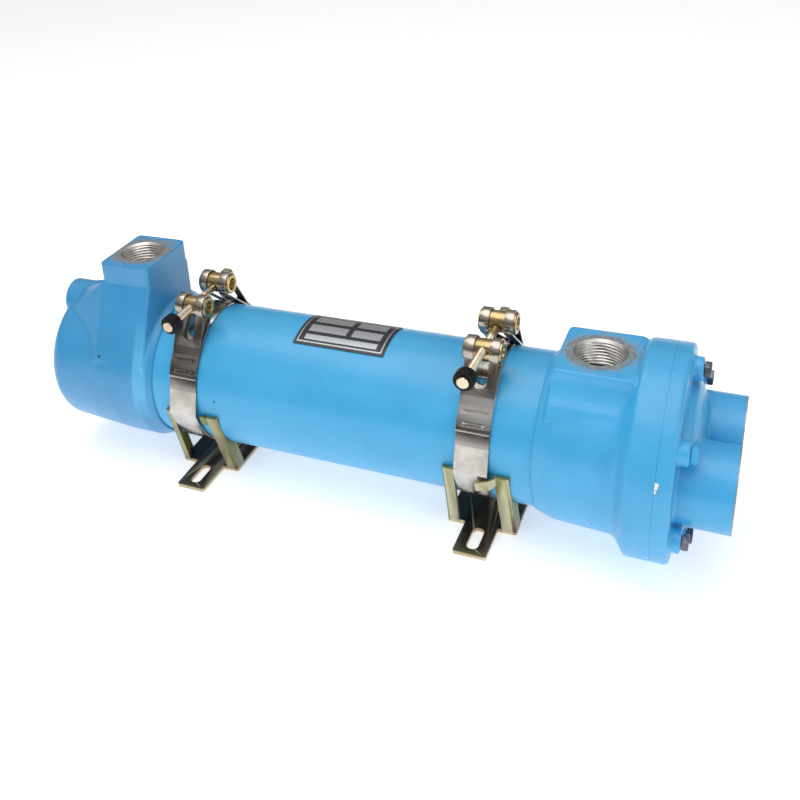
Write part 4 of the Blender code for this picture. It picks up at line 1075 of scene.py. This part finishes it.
def make_trunnions(side):
    reach = TRUNNION_LENGTH / 2
    end = [(reach - depth, radius) for depth, radius in TRUNNION_RECESS]
    end += [(reach, TRUNNION_RADIUS - TRUNNION_EDGE), (reach - TRUNNION_EDGE, TRUNNION_RADIUS)]
    profile = [(-x, r) for x, r in end] + list(reversed(end))
    for place, y in (("front", -TRUNNION_Y), ("rear", TRUNNION_Y)):
        bm = moved(turned(profile, 72), (CLAMP_X[side], y, AXIS + TRUNNION_HEIGHT))
        trunnion = make_object(f"{side}_{place}_trunnion_detail", leaned(bm), gold)
        through = TRUNNION_RADIUS + CUT_PAST
        hole = rod(CLAMP_BOLT_RADIUS + GAP, y - through, y + through, 40)
        combine(trunnion, [solid(on_bolt_axis(side, hole))], "DIFFERENCE")
        soften(trunnion, TRUNNION_BEVEL)
        hand_over(trunnion, "cooler", "yellow_zinc", f"{side}_{place}_trunnion")


def screw(low, high):
    """The clamp bolt's threaded length about X, its crests at the full radius, with coned ends."""
    def radius_at(x, phase):
        fade = min(1.0, (x - low) / BOLT_PITCH, (high - x) / BOLT_PITCH)
        root = 0.5 - 0.5 * math.cos(2 * math.pi * phase)
        return CLAMP_BOLT_RADIUS - BOLT_THREAD_DEPTH * (1 - root * fade)

    return wound(low, high, BOLT_PITCH, radius_at, 32, 8)


def make_clamp_bolt(side):
    """The clamp's screw, with a collar on its tail that holds the nylon ring."""
    tip = -CLAMP_BOLT_TAIL[side]
    head = TRUNNION_Y + TRUNNION_RADIUS + BAND_THICKNESS + HEAD_STANDOFF
    bolt = hexagon_head(CLAMP_BOLT_HEAD, head, head + CLAMP_HEAD_HEIGHT)
    thread = screw(tip + THREAD_START, THREAD_END)
    shank_start, shank_end = THREAD_END - JOINED, head + JOINED / 2
    radius = CLAMP_BOLT_RADIUS - BOLT_THREAD_DEPTH / 2
    shank = turned([(shank_start, 0), (shank_start, radius), (shank_end, radius), (shank_end, 0)], 48)
    low, wide = TRUNNION_Y + TRUNNION_RADIUS + GAP, SHOULDER_RADIUS
    shoulder = turned([(low, 0), (low, wide), (shank_end, wide), (shank_end, 0)], 48)
    low, high, edge = tip - TAIL_POINT, tip + TAIL_COLLAR, TAIL_POINT
    collar = turned([(low, 0), (low, wide - edge), (low + edge, wide), (high, wide), (high, 0)], 48)
    combine(bolt, [solid(bm) for bm in (thread, shank, shoulder, collar)], "UNION")
    turn = bolt_direction(side).to_track_quat("X", "Z").to_matrix().to_4x4()
    bolt.data.transform(Matrix.Translation(clamp_pivot(side)) @ turn)
    bolt.name = f"{side}_clamp_bolt_detail"
    dress(bolt, screw_cream)
    hand_over(bolt, f"{side}_bolt", "bright_steel", f"{side}_clamp_bolt")


def make_retainer(side):
    """The loose nylon ring on a clamp bolt's tail, with a pocket for the bolt's collar."""
    tip = -CLAMP_BOLT_TAIL[side]
    start = tip + RETAINER_START
    end = start + RETAINER_LENGTH
    pocket = tip + TAIL_COLLAR + GAP
    bore, wide, edge = CLAMP_BOLT_RADIUS + GAP, SHOULDER_RADIUS + GAP, RETAINER_EDGE
    ring = [(start, wide)] + arc((start + edge, RETAINER_RADIUS - edge), edge, 180, 90, 4)
    ring += arc((end - edge, RETAINER_RADIUS - edge), edge, 90, 0, 4)
    ring += [(end, bore), (pocket, bore), (pocket, wide)]
    retainer = make_object(f"{side}_bolt_retainer_detail", on_bolt_axis(side, turned(ring, 64)), nylon)
    hand_over(retainer, f"{side}_retainer", "black_nylon", f"{side}_bolt_retainer")


def sector(inside, outside, start, end, steps):
    """The outline of a ring's sector about the shell's axis, in Y and Z, with angles from the front."""
    points = arc((0.0, 0.0), outside, start, end, steps) + arc((0.0, 0.0), inside, end, start, steps)
    return [(-y, z + AXIS) for y, z in points]


def make_bridge(side):
    inside = SHELL_RADIUS + GAP
    outline = sector(inside, inside + BRIDGE_THICKNESS, 90 - BRIDGE_HALF_ANGLE, 90 + BRIDGE_HALF_ANGLE, 48)
    low = CLAMP_X[side] - BRIDGE_WIDTH / 2
    strip = leaned(prism(outline, low, low + BRIDGE_WIDTH))
    bridge = make_object(f"{side}_band_bridge_detail", strip, stainless)
    soften(bridge, FINE_BEVEL)
    hand_over(bridge, "cooler", "stainless_band", f"{side}_band_bridge")


# Brackets

def leaning(outline, low, high, front, lean):
    """An outline in X and Y at floor level, extruded upwards and leaning outwards and to +X."""
    bm = prism(outline, low, high, "Z")
    for vert in bm.verts:
        vert.co.x += lean * vert.co.z / POST_TOP_Z
        vert.co.y += front * (post_lean(vert.co.z) - BRACKET_HALF_DEPTH)
    return bm


def post_angle(outer, inner, face, front, edge):
    """The section of a corner post: a strip and a cheek, with the bend between them rounded."""
    behind = face - front * SHEET
    back = face - front * CHEEK_DEPTH
    wall = outer - edge * SHEET
    bend = []
    center = Vector((outer - edge * BEND_RADIUS, face - front * BEND_RADIUS))
    for step in range(7):
        angle = math.pi / 2 * step / 6
        away = Vector((edge * math.sin(angle), front * math.cos(angle)))
        bend.append(tuple(center + away * BEND_RADIUS))
    return [(inner, face)] + bend + [(outer, back), (wall, back), (wall, behind), (inner, behind)]


def tongue_outline(inner, edge, front, over_band):
    """The outline at floor level of the tongue that a post holds out past its inner edge."""
    face = front * (BRACKET_HALF_DEPTH - SHAVE)
    behind = front * (BRACKET_HALF_DEPTH - SHEET + SHAVE)
    root = inner + edge * SHEET
    if not over_band:
        tip = inner - edge * TONGUE_REACH
        return [(root, face), (tip, face), (tip, behind), (root, behind)]
    step = front * OUTER_TONGUE_STEP
    tip = inner - edge * OUTER_TONGUE_REACH
    near, far = inner + edge * JOGGLE[0], inner - edge * JOGGLE[1]
    shift = edge * JOGGLE_SHIFT
    outside = [(root, face), (near, face), (far, face + step), (tip, face + step)]
    inside = [(tip, behind + step), (far - shift, behind + step), (near - shift, behind), (root, behind)]
    return outside + inside


def make_post(side, front, edge):
    width, lean = POSTS[side, edge]
    outer = CLAMP_X[side] + edge * BRACKET_HALF_WIDTH
    inner = outer - edge * width
    face = front * BRACKET_HALF_DEPTH
    post = solid(leaning(post_angle(outer, inner, face, front, edge), 0.6 * MM, POST_TOP_Z, front, lean))
    over_band = (side, front, edge) == ("right", -1, 1)
    flat = tongue_outline(inner, edge, front, over_band)
    tongue = leaning(flat, POST_TOP_Z - TONGUE_HEIGHT, POST_TOP_Z - SHAVE, front, lean)
    if over_band:
        for vert in tongue.verts:
            past = max(0, (inner - vert.co.x) * edge) / OUTER_TONGUE_REACH
            vert.co.z -= OUTER_TONGUE_DROP * past
    return [post, solid(tongue)]


def make_bracket(side):
    middle = CLAMP_X[side]
    wide, narrow = BRACKET_HALF_WIDTH - SHAVE, TAB_HALF_WIDTH
    outline = []
    for x, y in ((1, 1), (-1, 1), (-1, -1), (1, -1)):
        corner = [(wide, BRACKET_HALF_DEPTH), (narrow, BRACKET_HALF_DEPTH), (narrow, TAB_TIP_Y)]
        turn = [(middle + x * a, y * b) for a, b in corner]
        outline += turn if x == y else list(reversed(turn))
    sheet = prism(rounded(outline, SHEET_CORNER), 0, SHEET, "Z")
    bracket = make_object(f"{side}_bracket_detail", sheet, zinc)
    posts = []
    for front in (-1, 1):
        for edge in (-1, 1):
            posts += make_post(side, front, edge)
    combine(bracket, posts, "UNION")
    clear = SHELL_RADIUS + GAP
    low, high = middle - BRACKET_HALF_DEPTH, middle + BRACKET_HALF_DEPTH
    tools = [solid(on_axis(turned([(low, 0), (low, clear), (high, clear), (high, 0)])))]
    for front in (-1, 1):
        round_radius = SLOT_WIDTH / 2
        reach = SLOT_LENGTH / 2 - round_radius
        slot = arc((middle, front * SLOT_Y + reach), round_radius, 0, 180, 20)
        slot += arc((middle, front * SLOT_Y - reach), round_radius, 180, 360, 20)
        tools.append(solid(prism(slot, -2 * MM, SHEET + 2 * MM, "Z")))
    combine(bracket, tools, "DIFFERENCE")
    soften(bracket, BRACKET_BEVEL)
    hand_over(bracket, "cooler", "yellow_zinc", f"{side}_bracket")


# Name plate

def make_name_plate():
    """A thin curved plate, black with a light border line and blank silver fields."""
    low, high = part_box("name_plate")
    inside = SHELL_RADIUS + GAP
    sheet = inside + PLATE_THICKNESS
    start, end = PLATE_ARC
    base = prism(sector(inside, sheet - PRINT_HEIGHT, start, end, 40), low.x, high.x)
    plate = make_object("name_plate_detail", base, plate_black)
    length = high.x - low.x
    prints = []
    for from_x, to_x, from_turn, to_turn in PLATE_PRINTS:
        outline = sector(sheet - 2 * PRINT_HEIGHT, sheet, start + (end - start) * from_turn,
                         start + (end - start) * to_turn, 40)
        field = prism(outline, low.x + length * from_x, low.x + length * to_x)
        prints.append(solid(field))
    mesh = bmesh.new()
    mesh.from_mesh(plate.data)
    plate.data.materials.append(plate_silver)
    for field in prints:
        first = len(mesh.faces)
        mesh.from_mesh(field.data)
        mesh.faces.ensure_lookup_table()
        for face in mesh.faces[first:]:
            face.material_index = 1
        bpy.data.objects.remove(field)
    mesh.to_mesh(plate.data)
    mesh.free()
    hand_over(plate, "cooler", "name_plate", "name_plate")


# Stage, light and camera

def make_floor():
    bm = bmesh.new()
    bmesh.ops.create_grid(bm, x_segments=8, y_segments=8, size=FLOOR_HALF)
    floor = make_object("floor", moved(bm, (0, 0, -0.1 * MM)), floor_white)


def make_light(name, place, target, size, power, color, glossy):
    lamp = bpy.data.lights.new(name, "AREA")
    lamp.shape = "RECTANGLE"
    lamp.size, lamp.size_y = size
    lamp.energy = power
    lamp.color = color
    holder = bpy.data.objects.new(name, lamp)
    holder.location = place
    holder.visible_glossy = glossy
    holder.rotation_euler = (Vector(target) - Vector(place)).to_track_quat("-Z", "Y").to_euler()
    bpy.context.scene.collection.objects.link(holder)


def make_world():
    """A pale studio, bright overhead and dark low on its walls, which shows in the metal's reflections."""
    world = bpy.data.worlds.new("studio")
    world.use_nodes = True
    tree = world.node_tree
    place = tree.nodes.new("ShaderNodeTexCoord").outputs["Generated"]
    split = tree.nodes.new("ShaderNodeSeparateXYZ")
    tree.links.new(place, split.inputs["Vector"])
    ramp = tree.nodes.new("ShaderNodeValToRGB")
    stops = ramp.color_ramp.elements
    stops[0].position, stops[0].color = 0.0, (0.9, 0.9, 0.9, 1)
    stops[1].position, stops[1].color = 1.0, (1.0, 1.0, 1.0, 1)
    for position, value in ((0.02, 0.16), (0.28, 0.2), (0.5, 0.75)):
        stops.new(position).color = (value, value, value, 1)
    tree.links.new(split.outputs["Z"], ramp.inputs["Fac"])
    tree.links.new(ramp.outputs["Color"], tree.nodes["Background"].inputs["Color"])
    tree.nodes["Background"].inputs["Strength"].default_value = WORLD_STRENGTH
    bpy.context.scene.world = world


def make_camera():
    """Looks down on the front of the cooler from beyond its port end, slightly rolled."""
    forward = Vector((-math.sin(CAMERA_YAW) * math.cos(CAMERA_PITCH),
                      math.cos(CAMERA_YAW) * math.cos(CAMERA_PITCH), -math.sin(CAMERA_PITCH)))
    level = Vector((math.cos(CAMERA_YAW), math.sin(CAMERA_YAW), 0))
    upright = level.cross(forward)
    across = level * math.cos(CAMERA_ROLL) + upright * math.sin(CAMERA_ROLL)
    up = upright * math.cos(CAMERA_ROLL) - level * math.sin(CAMERA_ROLL)
    turn = Matrix((across, up, -forward)).transposed().to_4x4()
    data = bpy.data.cameras.new("camera")
    data.lens = CAMERA_LENS
    data.sensor_width = 36
    data.shift_x, data.shift_y = CAMERA_SHIFT
    data.clip_start, data.clip_end = 0.01, 50
    data.dof.use_dof = False
    camera = bpy.data.objects.new("camera", data)
    camera.matrix_world = Matrix.Translation(CAMERA_PLACE) @ turn
    bpy.context.scene.collection.objects.link(camera)
    bpy.context.scene.camera = camera


make_shell()
make_port_end_housing()
make_return_end_housing()
make_water_cover()
make_cover_bolts()
for side in SIDES:
    make_band(side)
    make_trunnions(side)
    make_clamp_bolt(side)
    make_retainer(side)
    make_bridge(side)
    make_bracket(side)
make_name_plate()
make_floor()
make_world()
for name, values in LIGHTS.items():
    make_light(name, *values)
make_camera()
bpy.context.scene.view_settings.view_transform = "Standard"
